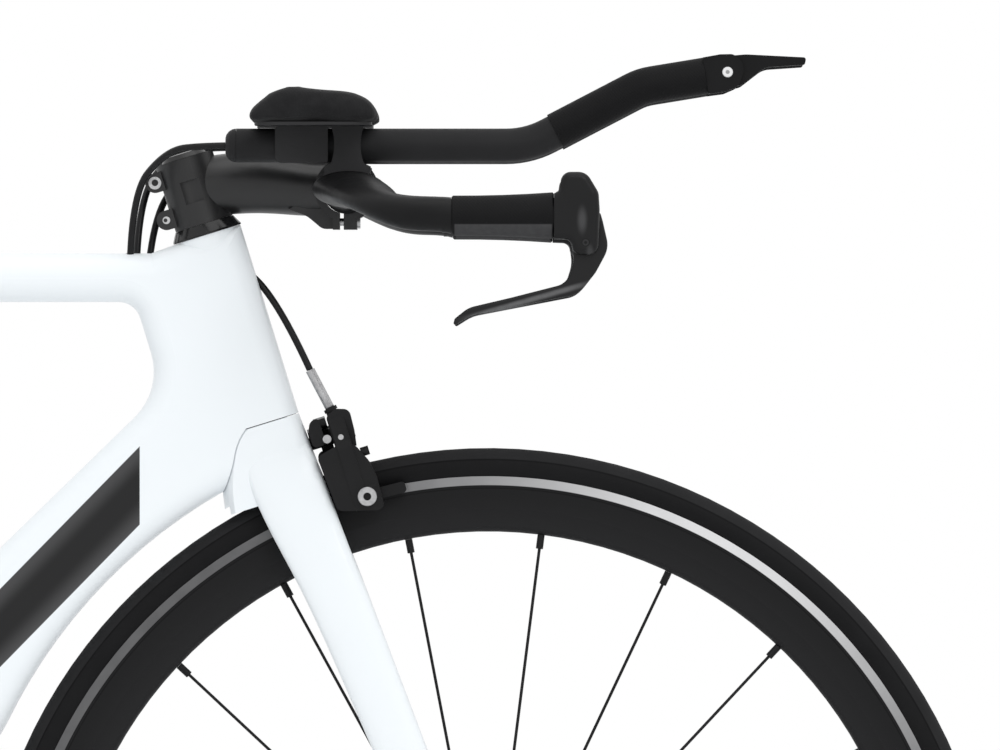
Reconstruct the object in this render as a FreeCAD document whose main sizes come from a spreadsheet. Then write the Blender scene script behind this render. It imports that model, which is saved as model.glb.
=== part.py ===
import FreeCAD, Part
import math
import os

# Every driving size, in millimetres and degrees. +X is forward, +Y is the rider's left, +Z is up.
SIZES = {
    # where the wheels stand
    "wheelbase": 990,
    "tyre_radius": 334,
    "tyre_width": 23.4,
    "tyre_wall": 1.6,
    "tyre_bead": 2.2,
    "tyre_tread_height": 7.6,
    "tube_wall": 1.0,
    "rim_edge_radius": 315.5,
    "rim_inner_radius": 279,
    "rim_width": 20,
    "rim_wall": 1.6,
    "rim_bed_depth": 8.5,
    "brake_track_height": 6,
    "brake_track_step": 0.4,
    "valve_radius": 3,
    "valve_length": 30,
    # spokes
    "front_spokes": 20,
    "front_spoke_phase": 7.2,
    "rear_spokes": 24,
    "rear_spoke_crossing": 52,
    "rear_spoke_level": 2.2,
    "spoke_radius": 1.0,
    "nipple_radius": 2.4,
    "nipple_length": 9,
    "seat_gap": 0.2,
    # hubs and axles
    "front_drop_width": 100,
    "rear_drop_width": 130,
    "axle_radius": 4.5,
    "axle_fit": 0.06,
    "hub_bearing_radius": 12,
    "hub_bearing_width": 7,
    "hub_wall": 2.2,
    "front_flange_radius": 19,
    "front_flange_offset": 34,
    "rear_flange_radius": 23,
    "rear_flange_left": 37,
    "rear_flange_right": 13,
    "flange_width": 3.6,
    "lock_nut_radius": 9,
    "lock_nut_length": 5,
    "skewer_radius": 2.5,
    "skewer_nut_radius": 9.5,
    "skewer_nut_length": 11,
    "quick_lever_length": 56,
    # steering
    "head_angle": 72.8,
    "fork_rake": 36,
    "head_base": 366.5,
    "head_length": 130,
    "head_front": 22.6,
    "head_web": 58.5,
    "steerer_radius": 14.3,
    "steerer_fit": 0.06,
    "head_bore_radius": 17,
    "bearing_radius": 20.8,
    "bearing_height": 8,
    "bearing_gap": 0.1,
    "crown_gap": 0.6,
    "headset_cover_height": 7.4,
    "headset_cover_radius": 23.3,
    # frame
    "frame_width": 46,
    "frame_edge": 15,
    "bb_drop": 72,
    "chainstay_length": 405,
    "bb_round": 34,
    "bb_shell_width": 68,
    "bb_shell_radius": 24,
    "down_tube_angle": 44.2,
    "down_tube_top": 55.3,
    "wheel_gap": 17.5,
    "rear_wheel_gap": 12,
    "seat_angle": 77,
    "seat_tube_front": 20,
    "seat_tube_length": 556,
    "top_tube_height": 796,
    "top_tube_depth": 32,
    "dropout_width": 7,
    "dropout_round": 17,
    "stay_gap": 5,
    # fork blades
    "fork_width": 46,
    "fork_front_edge": 10,
    "blade_top": 330,
    "blade_top_depth": 49,
    "blade_top_centre": 1.5,
    "blade_foot_depth": 24,
    "blade_thick": 14,
    "tyre_side_gap": 5.2,
    "brake_bolt_up": 346,
    "brake_bolt_radius": 3,
    "brake_mount_gap": 1.4,
    "rear_brake_lean": 17,
    # seat post
    "post_depth": 40,
    "post_width": 24,
    "post_ahead": -7,
    "post_fit": 0.3,
    "socket_depth": 230,
    "bb_bore_radius": 17,
    # bottle cage and cables
    "cage_first": 130,
    "cage_spacing": 64,
    "cage_depth": 12,
    "cage_hole_radius": 2.5,
    "cable_radius": 2.3,
    "cable_gap": 0.4,
    "port_depth": 20,
    "port_start": 0.3,
    "port_reach": 20,
    # stem
    "stem_height": 45,
    "cam_radius": 6.4,
    # seat post head and saddle
    "post_top": 668,
    "post_inside": 60,
    "rail_spacing": 44,
    "rail_radius": 3.5,
    "collar_height": 9,
    "collar_wall": 4.2,
    "saddle_height": 985,
    "saddle_back": 130,
    "saddle_front": 140,
    "saddle_depth": 42,
    "saddle_sag": 7,
    "shell_thick": 10,
    # stem and base bar
    "stem_wall": 5.2,
    "stem_lobe": 6.4,
    "stem_lobe_back": 29.4,
    "pinch_low": 9.4,
    "pinch_high": 35,
    "bolt_radius": 2.5,
    "bolt_head": 4.2,
    "bar_x": 402,
    "bar_height": 838,
    "bar_radius": 15.9,
    "jaw_wall": 5,
    "jaw_width": 42,
    "wing_chord": 46,
    "wing_thick": 24,
    "bar_end_radius": 11.1,
    "bar_bend": 54,
    "grip_x": 471.4,
    "grip_y": 202,
    "grip_height": 819.4,
    "grip_length": 66.5,
    "grip_radius": 13.1,
    "grip_end_radius": 15.2,
    "hood_width": 27,
    "lever_width": 10,
    "lever_edge": 1.6,
    "end_gap": 0.1,
    "lever_pivot_x": 558.4,
    "lever_pivot_height": 801.9,
    "pin_radius": 3,
    "pin_fit": 0.08,
    # extensions, armrests and shifters
    "extension_y": 62,
    "extension_height": 866.4,
    "extension_radius": 11.1,
    "extension_wall": 2,
    "extension_elbow": 40,
    "extension_grip_radius": 12.1,
    "extension_grip_start": 20,
    "extension_back": 330,
    "extension_bend_x": 521.5,
    "extension_rise": 27.5,
    "extension_slope": 84.1,
    "extension_tip_rise": 9.3,
    "extension_tip": 42,
    "shift_pivot_ahead": 14.6,
    "shifter_width": 20,
    "shift_lever_width": 10,
    "clamp_width": 32,
    "plate_thick": 2,
    "pad_x": 380.8,
    "pad_y": 84,
    "pad_length": 88.6,
    "pad_width": 96,
    "pad_height": 23,
    "pad_floor": 11,
    "trough_radius": 62,
    # brakes
    "brake_face": 24.2,
    "second_pivot_side": 14,
    "second_pivot_up": 4,
    "pad_bolt_ahead": 49.7,
    "pad_bolt_up": 301,
    "pad_gap": 2.2,
    "cheek_gap": 1.6,
    "cheek_thick": 10.2,
    "shoe_length": 52,
    "shoe_height": 7.4,
    "adjuster_radius": 3.1,
    "adjuster_length": 32,
    # drivetrain
    "chain_pitch": 12.7,
    "chain_line": 46.6,
    "roller_radius": 3.85,
    "tooth_gap": 4.05,
    "tooth_height": 2.8,
    "tooth_tip": 1.6,
    "link_height": 8.2,
    "link_inside": 1.15,
    "link_middle": 1.9,
    "link_outside": 2.7,
    "link_gap": 0.1,
    "link_pin_radius": 1.8,
    "cog_step": 3.74,
    "cog_thick": 1.6,
    "freehub_radius": 16.5,
    "ring_thick": 2,
    "ring_step": 6.6,
    "bolt_circle": 130,
    "spider_arms": 5,
    "spider_inner": 52,
    "spider_boss": 23,
    "crank_length": 172.5,
    "crank_near": 57.5,
    "crank_far": 66,
    "spindle_radius": 12,
    "cup_face": 44,
    "cup_radius": 21,
    "pedal_axle_radius": 4.5,
    "pedal_axle_length": 74,
    "fd_pivot_x": -120,
    "fd_pivot_height": 415,
    "guide_ahead": 7,
    "guide_drop": 90,
    "cage_length": 56,
    "cage_angle": -62,
    "rd_link_x": -507.5,
    "rd_link_width": 18,
    "rd_link_length": 40,
    "rd_link_lean": -10.8,
}

V = FreeCAD.Vector
doc = FreeCAD.newDocument("time_trial_bike")

sheet = doc.addObject("Spreadsheet::Sheet", "sizes")
for row, (alias, value) in enumerate(SIZES.items(), start=1):
    sheet.set(f"A{row}", alias)
    sheet.set(f"B{row}", str(value))
    sheet.setAlias(f"B{row}", alias)
doc.recompute()


def size(alias):
    """One driving size, read from the sheet."""
    return float(sheet.get(alias))


def bind(item, **rules):
    """Drive properties of an object from the sheet, one expression for each."""
    for prop, rule in rules.items():
        item.setExpression(prop, rule)
    return item


# Plane drawing helpers

def flat(x, y):
    """A point of a drawing."""
    return V(x, y, 0)


def line(start, end):
    return Part.LineSegment(flat(*start), flat(*end))


def arc(start, middle, end):
    return Part.Arc(flat(*start), flat(*middle), flat(*end))


def circle(radius, x=0, y=0):
    return Part.Circle(flat(x, y), V(0, 0, 1), radius)


def on_circle(centre, radius, degrees):
    """The point of a circle at an angle."""
    angle = math.radians(degrees)
    return (centre[0] + radius * math.cos(angle), centre[1] + radius * math.sin(angle))


def turn_arc(centre, radius, first, last):
    """An arc about a centre from one angle to another, in degrees."""
    ends = [on_circle(centre, radius, a) for a in (first, (first + last) / 2, last)]
    return arc(*ends)


def rounded(corners):
    """A closed outline through (x, y, radius) corners, each corner rounded by its own radius."""
    count = len(corners)
    entries, exits, curves = [], [], []
    for i in range(count):
        here = flat(corners[i][0], corners[i][1])
        back = flat(corners[i - 1][0], corners[i - 1][1])
        ahead = flat(corners[(i + 1) % count][0], corners[(i + 1) % count][1])
        radius = corners[i][2]
        to_back = (back - here).normalize()
        to_ahead = (ahead - here).normalize()
        half = to_back.getAngle(to_ahead) / 2
        reach = radius / math.tan(half) if radius else 0
        entries.append(here + to_back * reach)
        exits.append(here + to_ahead * reach)
        if radius:
            middle_way = (to_back + to_ahead).normalize()
            middle = here + middle_way * (radius / math.sin(half) - radius)
            curves.append(Part.Arc(entries[i], middle, exits[i]))
        else:
            curves.append(None)
    edges = []
    for i in range(count):
        if curves[i]:
            edges.append(curves[i])
        start, end = exits[i], entries[(i + 1) % count]
        if start.distanceToPoint(end) > 1e-6:
            edges.append(Part.LineSegment(start, end))
    return edges


def polygon(points):
    """A closed outline of straight lines."""
    return rounded([(x, y, 0) for x, y in points])


# Solid helpers

SIDE = FreeCAD.Rotation(V(1, 0, 0), 90)
ALONG_Y = FreeCAD.Rotation(V(1, 0, 0), -90)
ALONG_X = FreeCAD.Rotation(V(0, 1, 0), 90)


def place(point=V(0, 0, 0), rotation=FreeCAD.Rotation()):
    return FreeCAD.Placement(point, rotation)


def frame_of(origin, x_axis, y_axis):
    """A placement whose own x and y axes lie along two given directions."""
    z_axis = x_axis.cross(y_axis)
    return FreeCAD.Placement(origin, FreeCAD.Rotation(x_axis, y_axis, z_axis, "ZXY"))


def sketch(name, curves, placement):
    drawing = doc.addObject("Sketcher::SketchObject", name + "_sketch")
    drawing.Placement = placement
    drawing.addGeometry(curves, False)
    return drawing


def extrude(name, curves, placement, rule, symmetric=True):
    """A plane outline, with any holes in it, drawn out by a length from the sheet."""
    solid = doc.addObject("Part::Extrusion", name)
    solid.Base = sketch(name, curves, placement)
    solid.DirMode = "Normal"
    solid.FaceMakerClass = "Part::FaceMakerBullseye"
    solid.Symmetric = symmetric
    solid.Solid = True
    return bind(solid, LengthFwd=rule)


def revolve(name, curves, placement=place()):
    """A body turned about its own Y axis from a drawing of (radius, y) points."""
    body = doc.addObject("PartDesign::Body", name)
    parts = {item.Role: item for item in body.Origin.OriginFeatures}
    drawing = body.newObject("Sketcher::SketchObject", name + "_profile")
    drawing.AttachmentSupport = (parts["XY_Plane"], [""])
    drawing.MapMode = "FlatFace"
    for curve in curves:
        drawing.addGeometry(curve, False)
    turned = body.newObject("PartDesign::Revolution", name + "_turned")
    turned.Profile = drawing
    turned.ReferenceAxis = (parts["Y_Axis"], [""])
    turned.Angle = 360
    body.Placement = placement
    return body


def cylinder(name, placement, radius, length):
    """A cylinder that starts at its placement and runs along the placement's z axis."""
    solid = doc.addObject("Part::Cylinder", name)
    solid.Placement = placement
    return bind(solid, Radius=radius, Height=length)


def box(name, placement, length, width, height):
    solid = doc.addObject("Part::Box", name)
    solid.Placement = placement
    return bind(solid, Length=length, Width=width, Height=height)


def oval(centre, reach_a, way_a, reach_b, way_b, power=2.0, points=16):
    """A smooth closed section: an ellipse, or a squarer form of it for powers over two."""
    ring = []
    for i in range(points):
        angle = 2 * math.pi * i / points
        cos, sin = math.cos(angle), math.sin(angle)
        along = math.copysign(abs(cos) ** (2 / power), cos)
        across = math.copysign(abs(sin) ** (2 / power), sin)
        ring.append(centre + way_a * (reach_a * along) + way_b * (reach_b * across))
    curve = Part.BSplineCurve()
    curve.interpolate(Points=ring, PeriodicFlag=True)
    return Part.Wire([curve.toShape()])


def shape(name, made):
    """A made shape kept as a document object."""
    item = doc.addObject("Part::Feature", name)
    item.Shape = made
    return item


def loft(name, sections, ruled=False):
    solid = doc.addObject("Part::Loft", name)
    solid.Sections = [shape(f"{name}_section", section) for section in sections]
    solid.Solid = True
    solid.Ruled = ruled
    return solid


def bent_path(points, radii):
    """A wire of straight runs joined by tangent arcs, through corner points."""
    edges = []
    start = points[0]
    for i in range(1, len(points) - 1):
        back, here, ahead = points[i - 1], points[i], points[i + 1]
        to_back, to_ahead = (back - here).normalize(), (ahead - here).normalize()
        half = to_back.getAngle(to_ahead) / 2
        reach = radii[i - 1] / math.tan(half)
        first, last = here + to_back * reach, here + to_ahead * reach
        middle = here + (to_back + to_ahead).normalize() * (radii[i - 1] / math.sin(half) - radii[i - 1])
        if start.distanceToPoint(first) > 1e-6:
            edges.append(Part.LineSegment(start, first).toShape())
        edges.append(Part.Arc(first, middle, last).toShape())
        start = last
    edges.append(Part.LineSegment(start, points[-1]).toShape())
    return Part.Wire(edges)


def round_section(point, way, radius):
    return Part.Wire([Part.Circle(point, way, radius).toShape()])


def rod(name, points, radii, radius):
    """A round rod or hose along straight runs and tangent arcs."""
    spine = shape(name + "_path", bent_path(points, radii))
    section = shape(name + "_section", round_section(points[0], points[1] - points[0], radius))
    swept = doc.addObject("Part::Sweep", name)
    swept.Sections = [section]
    swept.Spine = (spine, [f"Edge{i + 1}" for i in range(len(spine.Shape.Edges))])
    swept.Solid = True
    swept.Frenet = False
    swept.Transition = "Round corner"
    return swept


def fuse(name, items):
    joined = doc.addObject("Part::MultiFuse", name)
    joined.Shapes = items
    joined.Refine = False
    return joined


def cut(name, base, tools):
    """A base with one or more tools taken out of it."""
    solid = doc.addObject("Part::Cut", name)
    solid.Base = base
    solid.Tool = tools[0] if len(tools) == 1 else group(name + "_tools", tools)
    return solid


def common(name, first, second):
    solid = doc.addObject("Part::Common", name)
    solid.Base = first
    solid.Tool = second
    return solid


def group(name, items):
    """Several solids kept side by side in one object."""
    held = doc.addObject("Part::Compound", name)
    held.Links = items
    return held


def mirror(name, item):
    """The same solid on the other side of the bicycle."""
    other = doc.addObject("Part::Mirroring", name)
    other.Source = item
    other.Normal = V(0, 1, 0)
    return other


def pair(name, item):
    return group(name, [item, mirror(name + "_other", item)])


def fillet(name, base, radius, wanted):
    """Round the edges of a base that a test picks."""
    doc.recompute()
    solid = doc.addObject("Part::Fillet", name)
    solid.Base = base
    edges = enumerate(base.Shape.Edges, start=1)
    solid.Edges = [(number, radius, radius) for number, edge in edges if wanted(edge)]
    return solid


SUBPARTS = []


def subpart(item, label):
    """Name a finished piece; its label is the name of its file."""
    item.Label = label
    SUBPARTS.append(item)
    return item


# The points the whole bicycle is laid out from

WHEEL_R = size("tyre_radius")
FRONT = V(size("wheelbase") / 2, 0, WHEEL_R)
REAR = V(-size("wheelbase") / 2, 0, WHEEL_R)
BB_DROP = size("bb_drop")
BB_BACK = math.sqrt(size("chainstay_length") ** 2 - BB_DROP ** 2)
BB = V(REAR.x + BB_BACK, 0, WHEEL_R - BB_DROP)

TILT = math.radians(90 - size("head_angle"))
STEER_UP = V(-math.sin(TILT), 0, math.cos(TILT))
STEER_AHEAD = V(math.cos(TILT), 0, math.sin(TILT))
STEER_FOOT = V(FRONT.x - size("fork_rake") / math.cos(TILT), 0, WHEEL_R)
HEAD_BASE = size("head_base")
HEAD_TOP = HEAD_BASE + size("head_length")


def steer(up, ahead, side=0):
    """A point given along the steering axis, ahead of it and to its left."""
    return STEER_FOOT + STEER_UP * up + STEER_AHEAD * ahead + V(0, side, 0)


def side_xy(point):
    """A point as a pair for a drawing of the side view."""
    return (point.x, point.z)


SEAT_WAY = V(-math.cos(math.radians(size("seat_angle"))), 0, math.sin(math.radians(size("seat_angle"))))
SEAT_AHEAD = V(SEAT_WAY.z, 0, -SEAT_WAY.x)


def seat(up, ahead, side=0):
    """A point given along the seat tube from the bottom bracket, ahead of it and to its left."""
    return BB + SEAT_WAY * up + SEAT_AHEAD * ahead + V(0, side, 0)


DOWN_ANGLE = math.radians(size("down_tube_angle"))
DOWN_WAY = V(math.cos(DOWN_ANGLE), 0, math.sin(DOWN_ANGLE))
DOWN_OVER = V(-math.sin(DOWN_ANGLE), 0, math.cos(DOWN_ANGLE))


def down(along, over, side=0):
    """A point given along the down tube from the bottom bracket and square above it."""
    return BB + DOWN_WAY * along + DOWN_OVER * over + V(0, side, 0)


STEER_FRAME = frame_of(STEER_FOOT, V(0, 1, 0).cross(STEER_UP), STEER_UP)
SIDE_VIEW = place(V(0, 0, 0), SIDE)


# Wheels

def tyre_profile():
    """The open casing section of a tyre, beads hooked inside the rim edges."""
    half = size("tyre_width") / 2
    wall = size("tyre_wall")
    edge = size("rim_edge_radius") + size("seat_gap")
    mid = WHEEL_R - half
    low = math.degrees(math.asin((edge - mid) / half))
    bead_y = size("rim_width") / 2 - size("rim_wall") - size("seat_gap")
    foot = edge - size("brake_track_height")
    outer = on_circle((mid, 0), half, 90 - low)
    inner_reach = half - wall
    start = (edge, half * math.cos(math.radians(low)))
    inner_y = bead_y - size("tyre_bead")
    inner_angle = math.degrees(math.acos(inner_y / inner_reach))
    inner_x = mid - inner_reach * math.sin(math.radians(inner_angle))
    curves = [arc(start, (WHEEL_R, 0), (start[0], -start[1]))]
    curves.append(line((start[0], -start[1]), (edge, -bead_y)))
    curves.append(line((edge, -bead_y), (foot, -bead_y)))
    curves.append(line((foot, -bead_y), (foot, -inner_y)))
    curves.append(line((foot, -inner_y), (inner_x, -inner_y)))
    curves.append(arc((inner_x, -inner_y), (WHEEL_R - wall, 0), (inner_x, inner_y)))
    curves.append(line((inner_x, inner_y), (foot, inner_y)))
    curves.append(line((foot, inner_y), (foot, bead_y)))
    curves.append(line((foot, bead_y), (edge, bead_y)))
    curves.append(line((edge, bead_y), start))
    return curves


def tube_profile():
    """The ring of the inner tube's section."""
    mid = WHEEL_R - size("tyre_width") / 2
    reach = size("tyre_width") / 2 - size("tyre_wall") - 2 * size("seat_gap")
    return [circle(reach, mid), circle(reach - size("tube_wall"), mid)]


def rim_profile():
    """A deep rounded rim with a bed for the beads and a step below each brake track."""
    half = size("rim_width") / 2
    wall = size("rim_wall")
    edge = size("rim_edge_radius")
    inner = size("rim_inner_radius")
    track = edge - size("brake_track_height")
    side = half - size("brake_track_step")
    bed = edge - size("rim_bed_depth")
    nose = 6.5
    points = [(edge, half), (track, half), (track - size("brake_track_step"), side)]
    shoulder = (inner + 15, side - 0.8)
    chin = on_circle((inner + nose, 0), nose, 115)
    other = [(x, -y) for x, y in points]
    curves = [line(points[0], points[1]), line(points[1], points[2]), line(points[2], shoulder)]
    curves.append(line(shoulder, chin))
    curves.append(arc(chin, (inner, 0), (chin[0], -chin[1])))
    curves.append(line((chin[0], -chin[1]), (shoulder[0], -shoulder[1])))
    curves.append(line((shoulder[0], -shoulder[1]), other[2]))
    curves.append(line(other[2], other[1]))
    curves.append(line(other[1], other[0]))
    inside = half - wall
    lip = [(edge, -inside), (bed, -inside), (bed, inside), (edge, inside)]
    curves.append(line(other[0], lip[0]))
    curves += [line(lip[i], lip[i + 1]) for i in range(3)]
    curves.append(line(lip[3], points[0]))
    return curves


def wheel_ring(end, hub):
    """Tyre with its inner tube and valve, and rim with the valve's hole, round one hub."""
    at_hub = place(hub)
    tyre = revolve(f"{end}_tyre_casing", tyre_profile(), at_hub)
    tube = revolve(f"{end}_inner_tube", tube_profile(), at_hub)
    valve_top = WHEEL_R - size("tyre_width") + size("tyre_wall") + 1
    valve_place = place(hub + V(0, 0, -valve_top), FreeCAD.Rotation())
    valve = cylinder(f"{end}_valve", valve_place, "sizes.valve_radius", "sizes.valve_length + 16")
    bore_place = place(hub + V(0, 0, -size("rim_edge_radius")))
    bore = cylinder(f"{end}_valve_bore", bore_place, "sizes.valve_radius + 0.3", "60")
    rim_ring = revolve(f"{end}_rim_ring", rim_profile(), at_hub)
    rim = cut(f"{end}_rim_bored", rim_ring, [bore])
    inner = fuse(f"{end}_tube_and_valve", [tube, valve])
    subpart(group(f"{end}_tyre_set", [tyre, inner]), f"{end}_tyre")
    subpart(rim, f"{end}_rim")


def spoke(start, end, hub):
    """One spoke and its nipple, from a hub point to a rim point about a hub."""
    way = (end - start).normalize()
    reach = start.distanceToPoint(end)
    nipple_at = reach - size("nipple_length")
    rod = Part.makeCylinder(size("spoke_radius"), nipple_at + 1, start, way)
    nipple = Part.makeCylinder(size("nipple_radius"), size("nipple_length"), start + way * nipple_at, way)
    made = rod.fuse(nipple)
    made.translate(hub)
    return made


def rim_seat(angle, side):
    """Where a nipple ends, just short of the rim's inner face."""
    reach = size("rim_inner_radius") - size("seat_gap")
    return V(reach * math.sin(angle), side, reach * math.cos(angle))


def flange_seat(angle, radius, side):
    reach = radius + size("seat_gap")
    return V(reach * math.sin(angle), side, reach * math.cos(angle))


def front_spokes():
    """Radial spokes, every second one from the other flange."""
    made = []
    count = int(size("front_spokes"))
    for i in range(count):
        angle = math.radians(size("front_spoke_phase") + 360 / count * i)
        side = size("front_flange_offset") * (1 if i % 2 else -1)
        start = flange_seat(angle, size("front_flange_radius"), side)
        made.append(spoke(start, rim_seat(angle, 0.03 * side), FRONT))
    return subpart(shape("front_spoke_set", Part.makeCompound(made)), "front_spokes")


def rear_spokes():
    """Crossed spokes: on each flange they lean forward and backward by turns, on two levels."""
    made = []
    count = int(size("rear_spokes"))
    lean = math.radians(size("rear_spoke_crossing"))
    for i in range(count):
        angle = 2 * math.pi / count * (i + 0.5)
        left = i % 2 == 0
        forward = (i // 2) % 2 == 0
        level = size("rear_spoke_level") * (1 if forward else -1)
        side = size("rear_flange_left") if left else -size("rear_flange_right")
        hub_angle = angle + (lean if forward else -lean)
        start = flange_seat(hub_angle, size("rear_flange_radius"), side + level)
        made.append(spoke(start, rim_seat(angle, 0.02 * side), REAR))
    return subpart(shape("rear_spoke_set", Part.makeCompound(made)), "rear_spokes")


# Frame

def lower_edge_blend(hub, radius, line_over, blend):
    """Where a rounding of a given radius meets a wheel arc and the underside of the down tube."""
    reach = hub - BB
    along_hub, over_hub = reach.dot(DOWN_WAY), reach.dot(DOWN_OVER)
    over_mid = line_over + blend
    along_mid = along_hub - math.sqrt((radius + blend) ** 2 - (over_mid - over_hub) ** 2)
    centre = down(along_mid, over_mid)
    on_wheel = hub + (centre - hub).normalize() * radius
    return centre, on_wheel, down(along_mid, line_over)


def seat_edge_blend(radius, behind, blend, upper):
    """Where a rounding meets the rear wheel's arc and the back of the seat tube."""
    reach = REAR - BB
    up_hub, ahead_hub = reach.dot(SEAT_WAY), reach.dot(SEAT_AHEAD)
    ahead_mid = blend - behind
    half = math.sqrt((radius + blend) ** 2 - (ahead_mid - ahead_hub) ** 2)
    up_mid = up_hub + (half if upper else -half)
    centre = seat(up_mid, ahead_mid)
    on_wheel = REAR + (centre - REAR).normalize() * radius
    return centre, on_wheel, seat(up_mid, -behind)


def three_point(first, centre, last, radius):
    """An arc from one point to another about a centre."""
    middle = centre + ((first + last) * 0.5 - centre).normalize() * radius
    return arc(side_xy(first), side_xy(middle), side_xy(last))


def frame_outline():
    """The side view of head tube, down tube, bottom bracket, seat tube and top tube."""
    front_r = WHEEL_R + size("wheel_gap")
    rear_r = WHEEL_R + size("rear_wheel_gap")
    bb_r = size("bb_round")
    top = size("top_tube_height")
    length = size("seat_tube_length")
    blend = 60
    mid_a, wheel_a, line_a = lower_edge_blend(FRONT, front_r, -bb_r, blend)
    mid_b, wheel_b, line_b = seat_edge_blend(rear_r, bb_r, blend, False)
    mid_c, wheel_c, line_c = seat_edge_blend(rear_r, bb_r, blend, True)
    throat = FRONT + V(math.cos(math.radians(118.8)), 0, math.sin(math.radians(118.8))) * front_r
    corners = [steer(HEAD_TOP, size("head_front")), steer(HEAD_BASE, size("head_front"))]
    corners += [steer(HEAD_BASE, -10), throat]
    curves = [line(side_xy(corners[i]), side_xy(corners[i + 1])) for i in range(3)]
    curves.append(three_point(throat, FRONT, wheel_a, front_r))
    curves.append(three_point(wheel_a, mid_a, line_a, blend))
    curves.append(line(side_xy(line_a), side_xy(down(0, -bb_r))))
    curves.append(arc(side_xy(down(0, -bb_r)), side_xy(BB + V(-bb_r * 0.6, 0, -bb_r * 0.8)), side_xy(seat(0, -bb_r))))
    curves.append(line(side_xy(seat(0, -bb_r)), side_xy(line_b)))
    curves.append(three_point(line_b, mid_b, wheel_b, blend))
    curves.append(three_point(wheel_b, REAR, wheel_c, rear_r))
    curves.append(three_point(wheel_c, mid_c, line_c, blend))
    back_top, front_top = seat(length, -bb_r), seat(length, size("seat_tube_front"))
    curves.append(line(side_xy(line_c), side_xy(back_top)))
    curves.append(line(side_xy(back_top), side_xy(front_top)))
    ledge = (front_top.x + 4, top)
    rise = (steer(HEAD_TOP, -24).x - 14, top)
    curves.append(line(side_xy(front_top), ledge))
    curves.append(line(ledge, rise))
    curves.append(line(rise, side_xy(steer(HEAD_TOP, -24))))
    curves.append(line(side_xy(steer(HEAD_TOP, -24)), side_xy(corners[0])))
    return curves


def meet(point_a, way_a, point_b, way_b):
    """Where two straight lines of the side view cross."""
    gap = point_b - point_a
    turn = way_a.x * way_b.z - way_a.z * way_b.x
    step = (gap.x * way_b.z - gap.z * way_b.x) / turn
    return point_a + way_a * step


def main_triangle():
    """The opening between top tube, head web, down tube and seat tube."""
    under = V(0, 0, size("top_tube_height") - size("top_tube_depth"))
    web = steer(HEAD_BASE, -size("head_web"))
    over = down(0, size("down_tube_top"))
    front_of_seat = seat(0, size("seat_tube_front"))
    level = V(1, 0, 0)
    corners = [
        (meet(under, level, web, STEER_UP), 15),
        (meet(web, STEER_UP, over, DOWN_WAY), 42),
        (meet(over, DOWN_WAY, front_of_seat, SEAT_WAY), 26),
        (meet(front_of_seat, SEAT_WAY, under, level), 30),
    ]
    return rounded([(point.x, point.z, radius) for point, radius in corners])


def bell_profile(gap):
    """Half section of the rounded shoulder on which the fork turns under the frame."""
    rows = [(26, HEAD_BASE), (31.1, 358.4), (35.2, 348.7), (40.1, 333.3), (43, 316)]
    ring = [(radius + gap, up + gap) for radius, up in rows]
    curves = [line((0, rows[-1][1]), (0, HEAD_BASE + gap))]
    curves.append(line((0, HEAD_BASE + gap), ring[0]))
    curves.append(arc(ring[0], ring[1], ring[2]))
    curves.append(arc(ring[2], ring[3], (ring[4][0], rows[-1][1])))
    curves.append(line((ring[4][0], rows[-1][1]), (0, rows[-1][1])))
    return curves


def stay_section(point, way, tall, thick):
    """A stay's section square to its way."""
    side = V(0, 1, 0)
    up = way.cross(side).normalize()
    across = up.cross(way).normalize()
    return oval(point, tall / 2, up, thick / 2, across, 2.3)


def stay(name, points, tall, thick):
    """One stay on the left side, through centre points, with its own depths and widths."""
    sections = []
    for i, point in enumerate(points):
        before, after = points[max(i - 1, 0)], points[min(i + 1, len(points) - 1)]
        way = (after - before).normalize()
        sections.append(stay_section(point, way, tall[i], thick[i]))
    return loft(name, sections)


STAY_Y = (size("rear_drop_width") + size("dropout_width")) / 2
BRAKE_UP = size("brake_bolt_up")


def turned_to_rear():
    """The move that carries the front brake's place to the rear wheel, facing backwards."""
    swing = FreeCAD.Rotation(V(0, 1, 0), size("rear_brake_lean"))
    about = swing.multiply(FreeCAD.Rotation(V(0, 0, 1), 180))
    return place(REAR, about).multiply(place(FRONT * -1))


FRONT_BRAKE = place(STEER_FOOT, FreeCAD.Rotation(V(0, 1, 0), -math.degrees(TILT)))
REAR_BRAKE = turned_to_rear().multiply(FRONT_BRAKE)


def stays():
    """The four stays, the left ones drawn and the right ones mirrored."""
    low = [BB + V(-10, 21, 0), BB + V(-80, 25.5, 6), BB + V(-200, 45, 28)]
    low += [REAR + V(60, STAY_Y - 0.5, -11), REAR + V(16, STAY_Y, -2)]
    chain_stay = stay("chain_stay", low, [50, 42, 32, 26, 24], [16, 16, 13, 9, 7])
    top = seat(400, -14)
    reach = REAR + V(4, 0, 8) - top
    high = [top + reach * along + V(0, side, 0) for along, side in
            ((0, 15), (0.17, 22.5), (0.4, 34), (0.7, 52), (0.96, STAY_Y))]
    seat_stay = stay("seat_stay", high, [32, 26, 22, 20, 20], [12, 12, 11, 10, 7])
    return [chain_stay, mirror("chain_stay_right", chain_stay), seat_stay, mirror("seat_stay_right", seat_stay)]


def slot_outline(hub, width, drop):
    """An axle slot open downwards."""
    half = width / 2
    x, z = hub.x, hub.z
    edges = [turn_arc((x, z), half, 180, 0), line((x + half, z), (x + half, z - drop))]
    edges.append(line((x + half, z - drop), (x - half, z - drop)))
    edges.append(line((x - half, z - drop), (x - half, z)))
    return edges


def at_side(y):
    """A side-view drawing plane at a given distance to the left."""
    return place(V(0, y, 0), SIDE)


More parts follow.
